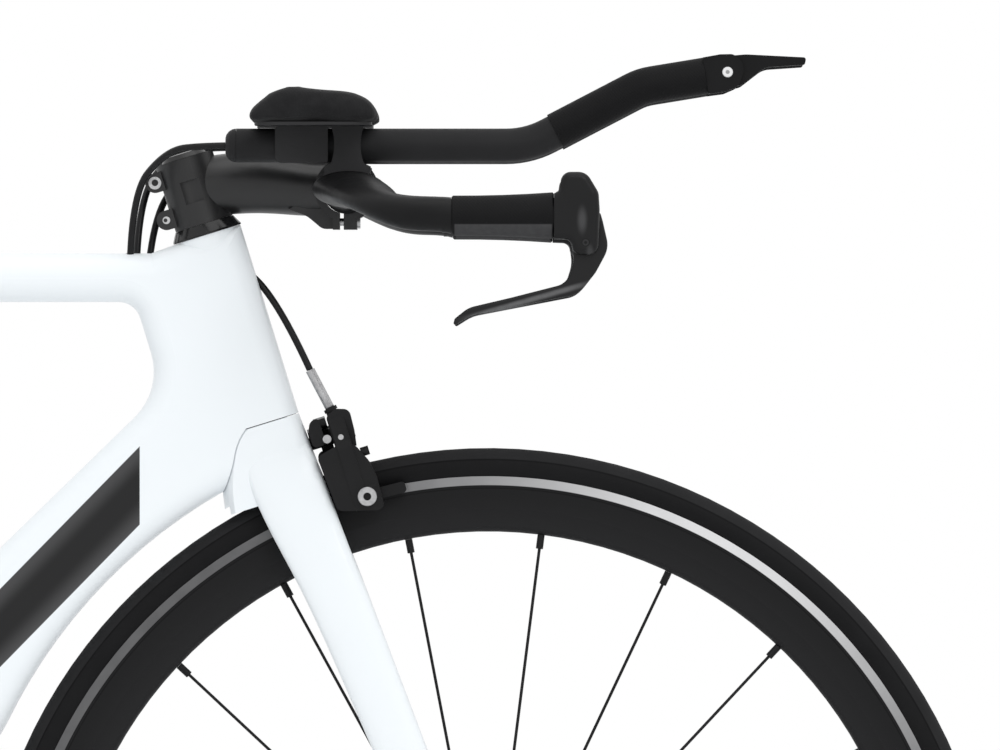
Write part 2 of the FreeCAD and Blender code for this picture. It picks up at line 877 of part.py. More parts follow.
def rear_dropouts():
    """The two plates that hold the rear axle; both have a lobe behind the slot."""
    x, z = REAR.x, REAR.z
    rim = [(x - 17, z + 10, 9), (x - 2, z + 22, 9), (x + 20, z + 14, 10), (x + 26, z - 8, 9)]
    rim += [(x + 12, z - 20, 7), (x - 10, z - 22, 4), (x - 22, z - 22, 7)]
    left = extrude("rear_dropout", rounded(rim), at_side(STAY_Y), "sizes.dropout_width")
    return [left, mirror("rear_dropout_right", left)]


def main_frame():
    """The one moulded frame with its bores, stays and dropouts."""
    plate = extrude("frame_plate", frame_outline() + main_triangle(), SIDE_VIEW, "sizes.frame_width")
    half = size("frame_width") / 2

    def round_edge(edge):
        middle = edge.CenterOfMass
        if abs(abs(middle.y) - half) > 1e-6:
            return False
        spot = V(middle.x, 0, middle.z)
        up = (spot - STEER_FOOT).dot(STEER_UP)
        ahead = (spot - STEER_FOOT).dot(STEER_AHEAD)
        at_head = ahead > -25 and (up > HEAD_TOP - 1 or up < HEAD_BASE + 1)
        at_seat = (spot - BB).dot(SEAT_WAY) > size("seat_tube_length") - 1
        return not (at_head or at_seat)

    smooth = fillet("frame_smooth", plate, size("frame_edge"), round_edge)
    shell_start = place(BB + V(0, -size("bb_shell_width") / 2, 0), ALONG_Y)
    shell = cylinder("bb_shell", shell_start, "sizes.bb_shell_radius", "sizes.bb_shell_width")
    bridge_at = REAR_BRAKE.multiply(place(V(-8, -25, BRAKE_UP - 9)))
    bridge = box("brake_bridge", bridge_at, "sizes.head_front + sizes.brake_mount_gap + 8", "50", "18")
    rim_at = place(steer(HEAD_TOP - size("frame_edge") - 8, 0), STEER_FRAME.Rotation.multiply(ALONG_Y))
    rim = cylinder("head_rim", rim_at, "sizes.head_front - 0.3", "sizes.frame_edge + 8")
    whole = fuse("frame_joined", [smooth, shell, bridge, rim] + stays() + rear_dropouts())
    tools = [cylinder("bb_bore", shell_start, "sizes.bb_bore_radius", "sizes.bb_shell_width")]
    tools.append(revolve("fork_recess", bell_profile(size("crown_gap")), STEER_FRAME))
    low = place(steer(HEAD_BASE - 1, 0), STEER_FRAME.Rotation.multiply(ALONG_Y))
    tools.append(cylinder("steerer_bore", low, "sizes.head_bore_radius", "sizes.head_length + 2"))
    tools.append(cylinder("lower_bearing_seat", low, "sizes.bearing_radius + sizes.bearing_gap",
                          "sizes.bearing_height + 1 + sizes.bearing_gap"))
    high = place(steer(HEAD_TOP - size("bearing_height"), 0), low.Rotation)
    tools.append(cylinder("upper_bearing_seat", high, "sizes.bearing_radius + sizes.bearing_gap", "20"))
    tools.append(loft("post_socket", [post_section(up, size("post_fit")) for up in
                                      (size("seat_tube_length") - size("socket_depth"), size("seat_tube_length") + 5)]))
    tools.append(extrude("rear_axle_slot", slot_outline(REAR, 2 * size("axle_radius") + 2 * size("seat_gap"), 40),
                         SIDE_VIEW, "200"))
    bolt = REAR_BRAKE.multiply(place(V(-20, 0, BRAKE_UP), ALONG_X))
    tools.append(cylinder("rear_brake_bore", bolt, "sizes.brake_bolt_radius + sizes.seat_gap", "60"))
    for along in (size("cage_first"), size("cage_first") + size("cage_spacing")):
        at = place(down(along, size("down_tube_top") - size("cage_depth")), FreeCAD.Rotation(V(0, 0, 1), DOWN_OVER))
        tools.append(cylinder("cage_hole", at, "sizes.cage_hole_radius", "sizes.cage_depth + 5"))
    tools += cable_ports()
    return subpart(cut("frame_bored", whole, tools), "frame")


def post_section(up, gap):
    """The seat post's section at a height along the seat tube, grown by a gap."""
    reach_a, reach_b = size("post_depth") / 2 + gap, size("post_width") / 2 + gap
    return oval(seat(up, size("post_ahead")), reach_a, SEAT_AHEAD, reach_b, V(0, 1, 0), 2.2)


def brake_stop(where):
    """The top of a brake's cable adjuster and the way its cable leaves."""
    way = V(-0.18, 0, 0.98).normalize()
    top = V(size("brake_face") + 19.8, -15, 360) + way * size("adjuster_length")
    return where.multVec(top), where.Rotation.multVec(way)


def cable_routes():
    """Corner points and bend radii of the cables, each from its hole in the frame."""
    top = size("top_tube_height") - size("port_depth")
    back, level, side = size("extension_back"), size("extension_height"), size("extension_y")
    front_stop, front_way = brake_stop(FRONT_BRAKE)
    rear_stop, rear_way = brake_stop(REAR_BRAKE)
    stay_end = REAR + V(65, -STAY_Y + 2, -9)
    return {
        "right_shift": ([V(259.5, -9, top), V(259.6, -13, level - 32), V(back - 46, -45, level - 3),
                         V(back - 22, -side, level), V(back + 8, -side, level)], [40, 40, 30]),
        "left_shift": ([V(263.5, 0, top), V(263.8, 5, level - 36), V(back - 44, 42, level - 4),
                        V(back - 22, side, level), V(back + 8, side, level)], [40, 40, 30]),
        "rear_brake_front": ([V(270.7, 9, top), V(275, 16, 842), V(322, 44, 846), V(size("bar_x") - 26, 48, 838)],
                             [24, 30]),
        "front_brake": ([steer(462, 19.8, -4), steer(446, 31, -8), front_stop + front_way * 0.3], [25]),
        "rear_brake": ([seat(466, -29.6, 6), rear_stop + rear_way * 26, rear_stop + rear_way * 0.3], [30]),
        "rear_shift": ([stay_end, stay_end + V(-34, -22, 2), V(REAR.x - 51, -90, REAR.z - 7),
                        V(REAR.x - 51, -86, REAR.z - 42), V(REAR.x - 26, -84, REAR.z - 42)], [20, 16.5, 16.5]),
    }


def cable_ports():
    """Holes in the frame where the cables go in."""
    ports = []
    for points, _ in CABLES.values():
        way = (points[1] - points[0]).normalize()
        at = place(points[0] - way * size("port_start"), FreeCAD.Rotation(V(0, 0, 1), way))
        length = "sizes.port_depth + 8" if points[0].z > size("top_tube_height") - 30 else "sizes.port_reach"
        ports.append(cylinder("cable_port", at, "sizes.cable_radius + sizes.cable_gap", length))
    return ports


CABLES = cable_routes()


def cables(label, names):
    """Round hoses along their routes."""
    made = [rod("cable_" + name, *CABLES[name], size("cable_radius")) for name in names]
    return subpart(group(label + "_set", made), label)


def fork():
    """Crown, two straight blades, dropouts and steerer in one piece."""
    half = size("fork_width") / 2
    view = FRONT_BRAKE.multiply(SIDE_VIEW)
    base = 316
    front = size("head_front")
    outline = polygon([(front, HEAD_BASE), (front + 3.4, base), (-44, base), (-44, HEAD_BASE)])
    block = extrude("crown_block", outline, view, "sizes.fork_width")

    def front_edge(edge):
        middle = FRONT_BRAKE.inverse().multVec(edge.CenterOfMass)
        return abs(abs(middle.y) - half) < 1e-6 and middle.x > front - 1

    nose = fillet("crown_nose", block, size("fork_front_edge"), front_edge)
    bell = revolve("crown_bell", bell_profile(0), STEER_FRAME)
    ahead_at = FRONT_BRAKE.multiply(place(V(0, -60, base - 1)))
    ahead = box("crown_ahead", ahead_at, "60", "120", "sizes.head_base - 315")
    limit = fuse("crown_limit", [bell, ahead])
    crown = common("fork_crown", nose, limit)
    rows = [
        (348, 0, 44, 17.5, 9),
        (330, 1.5, 47, 22, 12),
        (310, 3.2, 46.5, 24.4, 13.5),
        (264, 8.8, 41, 29.5, 14),
        (138, 20.8, 33, 41.5, 12.5),
        (30, 31.8, 25, 51.5, 9),
        (-4, 35.3, 22, 53.5, 7),
    ]
    sections = []
    for up, ahead_of, depth, side, thick in rows:
        point = steer(up, ahead_of, side)
        sections.append(oval(point, depth / 2, STEER_AHEAD, thick / 2, V(0, 1, 0), 2.4))
    blade = loft("fork_blade", sections)
    x, z = FRONT.x, FRONT.z
    tip_y = (size("front_drop_width") + size("dropout_width")) / 2
    rim = [(x - 13, z + 16, 6), (x + 9, z + 16, 6), (x + 13, z - 4, 6), (x + 10, z - 15, 4), (x - 12, z - 15, 4)]
    tip = extrude("fork_tip", rounded(rim), at_side(tip_y), "sizes.dropout_width")
    steerer_at = place(steer(HEAD_BASE - 20, 0), STEER_FRAME.Rotation.multiply(ALONG_Y))
    steerer = cylinder("steerer", steerer_at, "sizes.steerer_radius",
                       "20 + sizes.head_length + sizes.headset_cover_height + sizes.stem_height - 3")
    whole = fuse("fork_joined", [crown, blade, mirror("fork_blade_right", blade), tip,
                                 mirror("fork_tip_right", tip), steerer])
    well_at = place(FRONT + V(0, -(size("tyre_width") / 2 + size("tyre_side_gap")), 0), ALONG_Y)
    tools = [cylinder("wheel_well", well_at, "sizes.tyre_radius + 7", "sizes.tyre_width + 2 * sizes.tyre_side_gap")]
    slot = slot_outline(FRONT, 2 * size("axle_radius") + 2 * size("seat_gap"), 40)
    tools.append(extrude("front_axle_slot", slot, SIDE_VIEW, "160"))
    bolt = FRONT_BRAKE.multiply(place(V(-60, 0, BRAKE_UP), ALONG_X))
    tools.append(cylinder("front_brake_bore", bolt, "sizes.brake_bolt_radius + sizes.seat_gap", "120"))
    return subpart(cut("fork_bored", whole, tools), "fork")


def ring(name, placement, outer, inner, low, high):
    """A plain ring about a placement's Y axis."""
    return revolve(name, polygon([(inner, low), (outer, low), (outer, high), (inner, high)]), placement)


def headset():
    """Two bearings in the frame, and the cover that turns with the fork."""
    inner = size("steerer_radius") + size("steerer_fit")
    outer, tall = size("bearing_radius"), size("bearing_height")
    bearings = [ring("lower_bearing", STEER_FRAME, outer, inner, HEAD_BASE + 0.3, HEAD_BASE + tall)]
    bearings.append(ring("upper_bearing", STEER_FRAME, outer, inner, HEAD_TOP - tall, HEAD_TOP - 0.3))
    subpart(group("headset_bearing_set", bearings), "headset_bearings")
    top = HEAD_TOP + size("headset_cover_height")
    wide = size("headset_cover_radius")
    cone = [(inner, HEAD_TOP + 0.3), (wide, HEAD_TOP + 0.3), (wide, HEAD_TOP + 1.4), (wide - 3.4, top), (inner, top)]
    subpart(revolve("headset_cone", polygon(cone), STEER_FRAME), "headset_cover")


main_frame()
fork()
headset()
wheel_ring("front", FRONT)
wheel_ring("rear", REAR)
front_spokes()
rear_spokes()


# Hubs, axles and quick releases

def bearing_pair(end, hub, outer_low, outer_high):
    """Two sealed bearings that ride on an axle, given their outward faces."""
    inner = size("axle_radius") + size("axle_fit")
    wide = size("hub_bearing_width")
    low = ring(f"{end}_bearing_right", place(hub), size("hub_bearing_radius"), inner, outer_low, outer_low + wide)
    high = ring(f"{end}_bearing_left", place(hub), size("hub_bearing_radius"), inner, outer_high - wide, outer_high)
    return [low, high]


def hub_shell(end, hub, flange_r, right, left):
    """A hub shell with two flanges, given by the distances of the flanges to each side."""
    seat_r = size("hub_bearing_radius") + size("axle_fit")
    end_r = seat_r + size("hub_wall")
    half = size("flange_width") / 2
    deep = size("hub_bearing_width") + 1
    core = size("axle_radius") + 4
    low, high = -right - 4.5, left + 4.5
    outline = [(seat_r, low), (end_r, low), (end_r, -right - half), (flange_r, -right - half)]
    outline += [(flange_r, half - right), (end_r, half - right + 3), (end_r - 2, half - right + 9)]
    outline += [(end_r - 2, left - half - 9), (end_r, left - half - 3), (flange_r, left - half)]
    outline += [(flange_r, left + half), (end_r, left + half), (end_r, high), (seat_r, high)]
    outline += [(seat_r, high - deep), (core, high - deep), (core, low + deep), (seat_r, low + deep)]
    shell = revolve(f"{end}_hub_shell", polygon(outline), place(hub))
    solids = [shell] + bearing_pair(end, hub, low + 0.5, high - 0.5)
    subpart(group(f"{end}_hub_set", solids), f"{end}_hub")
    return low, high


def axle(end, hub, drop_width, right_face, left_face):
    """A hollow axle with lock nuts, and the skewer with its nut and cup, all held by the dropouts."""
    radius, bore = size("axle_radius"), size("skewer_radius") + size("seat_gap")
    nut = size("lock_nut_radius")
    half = drop_width / 2
    tip = half + size("dropout_width") - 1
    clear = size("stay_gap") / 5
    outline = [(bore, -tip), (radius, -tip), (radius, -half), (nut, -half), (nut, right_face - clear)]
    outline += [(radius, right_face - clear), (radius, left_face + clear), (nut, left_face + clear)]
    outline += [(nut, half), (radius, half), (radius, tip), (bore, tip)]
    core = revolve(f"{end}_axle_core", polygon(outline), place(hub))
    face = half + size("dropout_width")
    thick, rod = size("skewer_nut_radius"), size("skewer_radius")
    deep = size("skewer_nut_length")
    pin = [(0, -face - deep), (thick - 3, -face - deep), (thick, -face - deep + 6), (thick, -face), (rod, -face)]
    pin += [(rod, face + 3), (0, face + 3)]
    skewer = revolve(f"{end}_skewer", polygon(pin), place(hub))
    cup = ring(f"{end}_lever_cup", place(hub), size("skewer_nut_radius") - 1, rod + size("seat_gap"), face, face + 5)
    return subpart(group(f"{end}_axle_set", [core, skewer, cup]), f"{end}_axle")


def quick_lever(end, hub, drop_width, lean):
    """The cam lever on the left, lying up along its blade or stay when closed."""
    y = drop_width / 2 + size("dropout_width") + 5
    cam = size("cam_radius")
    pivot_y = y + cam + 0.4
    up = V(math.sin(math.radians(lean)), 0, math.cos(math.radians(lean)))
    across = V(up.z, 0, -up.x)
    pivot = hub + V(0, pivot_y, 0)
    barrel_at = frame_of(pivot - across * 5, V(0, 1, 0), up)
    barrel_at = place(pivot - across * 5, FreeCAD.Rotation(V(0, 0, 1), across))
    barrel = cylinder(f"{end}_cam", barrel_at, "sizes.cam_radius", "10")
    long = size("quick_lever_length")
    rows = [(0, 0, 4.5, 3.2), (14, 1.5, 4.5, 2.8), (long * 0.6, 5, 6, 2.2), (long - 4, 6.5, 6.5, 1.9), (long, 7, 4.5, 1.2)]
    sections = [oval(pivot + up * along + V(0, out, 0), wide, across, thick, V(0, 1, 0)) for along, out, wide, thick in rows]
    arm = loft(f"{end}_lever_arm", sections)
    subpart(fuse(f"{end}_quick_lever", [barrel, arm]), f"{end}_qr_lever")
    return pivot, across


FRONT_HUB_ENDS = hub_shell("front", FRONT, size("front_flange_radius"), size("front_flange_offset"), size("front_flange_offset"))
REAR_HUB_ENDS = hub_shell("rear", REAR, size("rear_flange_radius"), size("rear_flange_right"), size("rear_flange_left"))
axle("front", FRONT, size("front_drop_width"), *FRONT_HUB_ENDS)
axle("rear", REAR, size("rear_drop_width"), -size("rear_drop_width") / 2 + 3.5, REAR_HUB_ENDS[1])
quick_lever("front", FRONT, size("front_drop_width"), -20)
quick_lever("rear", REAR, size("rear_drop_width"), 52)


# Seat post and saddle

def seat_post():
    """An aero post with a saddle clamp on its head."""
    top = size("post_top")
    low = size("seat_tube_length") - size("socket_depth") + size("post_inside")
    mast = loft("post_mast", [post_section(up, 0) for up in (low, top)])
    head = seat(top, size("post_ahead"))
    cradle_y = size("rail_spacing") / 2
    level = head + V(0, 0, 8)
    base = extrude("clamp_base", rounded([(-24, -14, 4), (24, -14, 4), (22, 1.6, 1.5), (-22, 1.6, 1.5)]),
                   place(level, SIDE), "sizes.rail_spacing + 14")
    lid = extrude("clamp_lid", rounded([(-21, 5.8, 1.5), (21, 5.8, 1.5), (17, 11, 3), (-17, 11, 3)]),
                  place(level, SIDE), "sizes.rail_spacing + 14")
    rail = size("rail_radius") + size("seat_gap")
    mid = 3.7
    grooves = []
    for y in (-cradle_y, cradle_y):
        at = place(level + V(-40, y, mid), ALONG_X)
        grooves.append(cylinder("rail_groove", at, "sizes.rail_radius + sizes.seat_gap", "80"))
    bolts = [cylinder("clamp_bolt", place(level + V(x, 0, -8)), "2.5", "22") for x in (-12, 12)]
    heads = [cylinder("clamp_bolt_head", place(level + V(x, 0, 11)), "4.5", "4") for x in (-12, 12)]
    body = cut("post_body", fuse("post_joined", [mast, base] + bolts + heads), [grooves[0], grooves[1]])
    holes = [cylinder("lid_hole", place(level + V(x, 0, 0)), "2.7", "20") for x in (-12, 12)]
    top_plate = cut("post_lid", lid, grooves + holes)
    subpart(group("seat_post_set", [body, top_plate]), "seat_post")
    return level + V(0, 0, mid)


RAIL_MID = seat_post()


SADDLE_TOP = size("saddle_height")


def saddle():
    """Two rails, the shell they hold and the pad on it."""
    x, z = RAIL_MID.x, RAIL_MID.z
    y = size("rail_spacing") / 2
    back, nose = x - size("saddle_back"), x + size("saddle_front")
    under = SADDLE_TOP - size("saddle_depth")
    route = [V(back + 16, y + 12, under + 3), V(x - 45, y, z), V(x + 45, y, z), V(nose - 30, 7, under - 1)]
    rail = rod("saddle_rail", route, [30, 30], size("rail_radius"))
    subpart(pair("saddle_rail_set", rail), "saddle_rails")
    rows = []
    count = 7
    for i in range(count):
        along = i / (count - 1)
        wide = 22 + 46 * (0.5 + 0.5 * math.cos(math.pi * min(1, max(0, (along - 0.12) / 0.55))))
        rows.append((back + 4 + (nose - back - 8) * along, wide - (10 if i in (0, count - 1) else 0)))
    shell_sections, pad_sections = [], []
    for i, (at, wide) in enumerate(rows):
        sag = size("saddle_sag") * math.sin(math.pi * i / (count - 1))
        floor = under + size("shell_thick") - sag * 0.3
        shell_sections.append(saddle_section(at, wide - 4, floor - size("shell_thick"), floor, 2.2))
        pad_sections.append(saddle_section(at, wide, floor + size("seat_gap"), SADDLE_TOP - sag, 2.6))
    socket = rod("saddle_socket", route, [30, 30], size("rail_radius") + size("seat_gap"))
    shell = loft("saddle_shell_form", shell_sections)
    subpart(cut("saddle_shell_cut", shell, [socket, mirror("saddle_socket_right", socket)]), "saddle_shell")
    subpart(loft("saddle_pad_form", pad_sections), "saddle_pad")


def saddle_section(x, wide, low, high, power):
    """A cross section of the saddle: crowned on top, drawn in at the sides."""
    half = (high - low) / 2
    return oval(V(x, 0, low + half), wide, V(0, 1, 0), half, V(0, 0, 1), power)


saddle()


def seat_collar():
    """The clamp band round the post on top of the seat tube, with its bolt behind."""
    length = size("seat_tube_length") + size("seat_gap")
    rise = size("collar_height")
    wall = size("collar_wall")
    band = loft("collar_band", [post_section(length, wall), post_section(length + rise, wall)])
    at = place(seat(length + rise / 2, size("post_ahead") - size("post_depth") / 2 - wall - 2, -9), ALONG_Y)
    lug = cylinder("collar_lug", at, "sizes.collar_height / 2", "18")
    bore = loft("collar_bore", [post_section(length - 5, size("post_fit")), post_section(length + 25, size("post_fit"))])
    subpart(cut("collar_bored", fuse("collar_joined", [band, lug]), [bore]), "seat_clamp")


seat_collar()


# Stem and bars

BAR = V(size("bar_x"), 0, size("bar_height"))
STEM_LOW = HEAD_TOP + size("headset_cover_height") + size("seat_gap")


def across_rod(name, placement, radius, length):
    """A cylinder centred on a placement and lying across the bicycle."""
    start = placement.multiply(place(V(0, -length / 2, 0), ALONG_Y))
    return cylinder(name, start, str(radius), str(length))


def stem():
    """A clamp on the steerer with two bolt lobes, a barrel and a split clamp for the bar."""
    bore = size("steerer_radius") + size("steerer_fit")
    high = STEM_LOW + size("stem_height")
    wall = size("stem_wall")
    collar = ring("stem_collar", STEER_FRAME, bore + wall, 1, STEM_LOW, high)
    lobe, back = size("stem_lobe"), -size("stem_lobe_back")
    lobes = []
    for up in (size("pinch_low"), size("pinch_high")):
        low, top = STEM_LOW + up - lobe, STEM_LOW + up + lobe
        outline = rounded([(-8, low, 0), (-8, top, 0), (back, top, lobe - 0.1), (back, low, lobe - 0.1)])
        lobes.append(extrude("stem_lobe", outline, FRONT_BRAKE.multiply(place(V(0, 0, 0), SIDE)), "18"))
    rows = [(300, 838, 18.5, 14), (314, 840.5, 20, 18.5), (330, 842, 20, 18.8), (356, 840.6, 18.6, 18.5),
            (BAR.x - 12, BAR.z + 0.5, 17, 21)]
    barrel = loft("stem_barrel", [oval(V(x, 0, z), tall, V(0, 0, 1), wide, V(0, 1, 0), 2.2) for x, z, tall, wide in rows])
    jaw_r = size("bar_radius") + size("jaw_wall")
    jaw = across_rod("stem_jaw", place(BAR), jaw_r, size("jaw_width"))
    low, split_x = BAR.z - jaw_r - 5, BAR.x - 4.4
    swoop_outline = rounded([(BAR.x - 38, BAR.z - 13, 0), (BAR.x - 26, BAR.z - 17.5, 16), (BAR.x - 16, low, 7), (split_x, low, 0),
                             (split_x, BAR.z - 8, 0), (BAR.x - 22, BAR.z - 4, 0)])
    swoop = extrude("stem_swoop", swoop_outline, SIDE_VIEW, "sizes.jaw_width - 12")
    lugs = []
    for side in (-1, 1):
        lug_at = BAR + V(-9, -size("jaw_width") / 2, side * (jaw_r + 0.5) - 5)
        lugs.append(box("jaw_lug", place(lug_at), "16", "sizes.jaw_width", "10"))
    whole = fuse("stem_joined", [collar, barrel, jaw, swoop] + lobes + lugs)
    tools = [across_rod("bar_bore", place(BAR), size("bar_radius") + size("seat_gap"), 80)]
    bore_at = place(steer(STEM_LOW - 5, 0), STEER_FRAME.Rotation.multiply(ALONG_Y))
    tools.append(cylinder("stem_bore", bore_at, "sizes.steerer_radius + sizes.steerer_fit", "70"))
    split = FRONT_BRAKE.multiply(place(V(-40, -1, STEM_LOW - 5)))
    tools.append(box("stem_split", split, "40", "2", "70"))
    tools.append(box("jaw_split", place(V(split_x, -50, BAR.z - 40)), "2.6", "100", "80"))
    for side in (-1, 1):
        scoop_at = FRONT_BRAKE.multiply(place(V(-1.4, side * 28.5, STEM_LOW + 15)))
        tools.append(cylinder("stem_scoop", scoop_at, "12", "15"))
    for item in pinch_places() + jaw_places():
        tools.append(cylinder("bolt_hole", item[0], "sizes.bolt_radius + sizes.seat_gap", str(item[1])))
        tools.append(cylinder("bolt_recess", item[2], "sizes.bolt_head + sizes.seat_gap", "20"))
    return subpart(cut("stem_cut", whole, tools), "stem")


def pinch_places():
    """Hole start, depth and head place of the two steerer bolts."""
    spots = []
    for up, way in ((size("pinch_low"), 1), (size("pinch_high"), -1)):
        turn = FreeCAD.Rotation(V(1, 0, 0), -90 * way)
        start = FRONT_BRAKE.multiply(place(V(-23, -9 * way, STEM_LOW + up), turn))
        head = FRONT_BRAKE.multiply(place(V(-23, 6 * way, STEM_LOW + up), turn))
        spots.append((start, 30, head))
    return spots


def jaw_places():
    """Hole start, depth and head place of the four bolts of the bar clamp."""
    spots = []
    for side in (-1, 1):
        for y in (-size("jaw_width") / 4, size("jaw_width") / 4):
            z = side * (size("bar_radius") + size("jaw_wall") + 0.5)
            start = place(BAR + V(-9, y, z), ALONG_X)
            head = place(BAR + V(5, y, z), ALONG_X)
            spots.append((start, 30, head))
    return spots


def cockpit_bolts():
    """The bolts of both stem clamps, and the cap with its bolt on the steerer."""
    made = []
    for start, depth, head in pinch_places() + jaw_places():
        length = start.Base.distanceToPoint(head.Base)
        shank = cylinder("bolt_shank", start, "sizes.bolt_radius", str(length + 0.5))
        knob = cylinder("bolt_knob", head, "sizes.bolt_head", "4")
        hex_hole = cylinder("bolt_socket", head.multiply(place(V(0, 0, 1.5))), "2", "5")
        made.append(cut("bolt", fuse("bolt_joined", [shank, knob]), [hex_hole]))
    high = STEM_LOW + size("stem_height") + size("seat_gap")
    cap = [(0, high), (15, high), (13.5, high + 3), (4, high + 3.6), (4, high + 2), (0, high + 2)]
    made.append(revolve("steerer_cap", polygon(cap), STEER_FRAME))
    return subpart(group("cockpit_bolt_set", made), "cockpit_bolts")


EXT_Y = size("extension_y")
EXT_Z = size("extension_height")
EXT_RISE = math.radians(size("extension_rise"))
EXT_TIP = math.radians(size("extension_tip_rise"))
EXT_BACK = V(size("extension_back"), EXT_Y, EXT_Z)
EXT_BEND = V(size("extension_bend_x"), EXT_Y, EXT_Z)
EXT_ELBOW = EXT_BEND + V(math.cos(EXT_RISE), 0, math.sin(EXT_RISE)) * size("extension_slope")
EXT_TIP_WAY = V(math.cos(EXT_TIP), 0, math.sin(EXT_TIP))
EXT_END = EXT_ELBOW + EXT_TIP_WAY * size("extension_tip")
SHIFT_PIVOT = EXT_END + EXT_TIP_WAY * size("shift_pivot_ahead")
GRIP_AXIS = V(size("grip_x"), size("grip_y"), size("grip_height"))


def bar_sections(gap):
    """Sections of the left half of the bar: a round clamp zone, a flat wing, then a bend to the grip."""
    neck, end = size("bar_radius") - 1, size("bar_end_radius") + 0.8
    wing, thin = size("wing_chord") / 2, size("wing_thick") / 2
    bend, low = size("bar_bend"), GRIP_AXIS.z
    corner = GRIP_AXIS - V(size("seat_gap"), bend, 0)
    rows = [
        (BAR.x, 8, BAR.z, 0, neck, neck),
        (BAR.x, 20, BAR.z, 0, neck, neck),
        (BAR.x + 1, 62, BAR.z, 3, wing, thin),
        (BAR.x + 6, 112, BAR.z - 2, 8, wing - 1, thin - 0.5),
    ]
    for turn, lift, half, thick in [(20, 0.55, 18, 9.5), (42, 0.26, 14.5, 10.6), (66, 0.08, 12.6, 11.4), (90, 0, end, end)]:
        angle = math.radians(turn)
        spot = corner + V(-math.cos(angle), math.sin(angle), 0) * bend
        rows.append((spot.x, spot.y, low + lift * (BAR.z - low), turn, half, thick))
    sections = []
    for x, y, z, turn, half, thick in rows:
        angle = math.radians(turn)
        chord = V(math.cos(angle), -math.sin(angle), 0)
        sections.append(oval(V(x, y, z), half + gap, chord, thick + gap, V(0, 0, 1)))
    return sections


def base_bar():
    """One wing-shaped bar, swept out and forward to two round ends."""
    wing = loft("bar_wing", bar_sections(0))
    inside = GRIP_AXIS - V(6, 0, 0)
    end = cylinder("bar_end", place(inside, ALONG_X), "sizes.bar_end_radius", "sizes.grip_length + 15")
    half = fuse("bar_left", [wing, end])
    middle = place(BAR - V(0, size("jaw_width") / 2 + 3, 0), ALONG_Y)
    clamped = cylinder("bar_middle", middle, "sizes.bar_radius", "sizes.jaw_width + 6")
    return subpart(fuse("bar_joined", [clamped, half, mirror("bar_right", half)]), "base_bar")


def bar_grips():
    """Two tapered rubber sleeves, slightly waisted."""
    length = size("grip_length")
    bore = size("bar_end_radius") + size("seat_gap")
    small, large = size("grip_radius"), size("grip_end_radius")
    start, end = (small, 0), (large, length)
    outline = [line((bore, 0), (small - 1, 0)), line((small - 1, 0), (small, 1))]
    outline.append(arc((small, 1), (small + 0.4, length * 0.5), (large, length - 1)))
    outline += [line((large, length - 1), (large - 1, length)), line((large - 1, length), (bore, length))]
    outline.append(line((bore, length), (bore, 0)))
    along = FreeCAD.Placement(GRIP_AXIS, FreeCAD.Rotation(V(0, 0, 1), -90))
    sleeve = revolve("grip_sleeve", outline, along)
    slope = EXT_BEND + V(math.cos(EXT_RISE), 0, math.sin(EXT_RISE)) * size("extension_grip_start")
    route = [slope, EXT_ELBOW, EXT_END]
    outside = rod("extension_grip", route, [size("extension_elbow")], size("extension_grip_radius"))
    inside = rod("extension_grip_bore", route, [size("extension_elbow")], size("extension_radius") + size("seat_gap"))
    upper = cut("extension_grip_sleeve", outside, [inside])
    return subpart(pair("grip_set", group("grips_one", [sleeve, upper])), "bar_grips")


def px_side(points):
    return [(x, z) for x, z in points]


LEVER_PIVOT = V(size("lever_pivot_x"), size("grip_y"), size("lever_pivot_height"))


def lever_bodies():
    """Rounded hoods in the bar ends, each a fork for its brake lever."""
    x, z = GRIP_AXIS.x + size("grip_length") + size("end_gap"), GRIP_AXIS.z
    px, pz = LEVER_PIVOT.x, LEVER_PIVOT.z
    outline = rounded([(x, z + 14.4, 0), (x + 3.4, z + 16.4, 4), (x + 5.2, z + 28.4, 6.5), (x + 20.8, z + 28.4, 9),
                       (x + 28.9, z + 15, 9), (px + 9.2, z + 4, 8), (px + 8.2, pz - 8, 7), (px - 8.2, pz - 8, 6),
                       (px - 9.6, z - 15.6, 5), (x, z - 15.2, 0)])
    view = at_side(GRIP_AXIS.y)
    block = extrude("lever_hood", outline, view, "sizes.hood_width")

    def hood_edge(edge):
        middle = edge.CenterOfMass
        return abs(abs(middle.y - GRIP_AXIS.y) - size("hood_width") / 2) < 1e-6 and middle.x > x + 0.5

    hood = fillet("lever_hood_smooth", block, 4, hood_edge)
    slot = extrude("lever_slot", polygon([(px - 13, pz - 20), (px + 40, pz - 20), (px + 40, pz + 30), (px + 1, pz + 30),
                                          (px - 13, pz + 12)]), view, "sizes.lever_width + 1.2")
    socket_at = place(V(x - 5, GRIP_AXIS.y, z), ALONG_X)
    socket = cylinder("bar_socket", socket_at, "sizes.bar_end_radius + sizes.seat_gap", "23")
    bored = cut("lever_hood_cut", hood, [slot, socket])
    pin = across_rod("lever_pin", place(LEVER_PIVOT), size("pin_radius"), size("hood_width") - 1)
    holed = fuse("lever_hood_pinned", [bored, pin])
    return subpart(pair("lever_hood_set", holed), "lever_bodies")


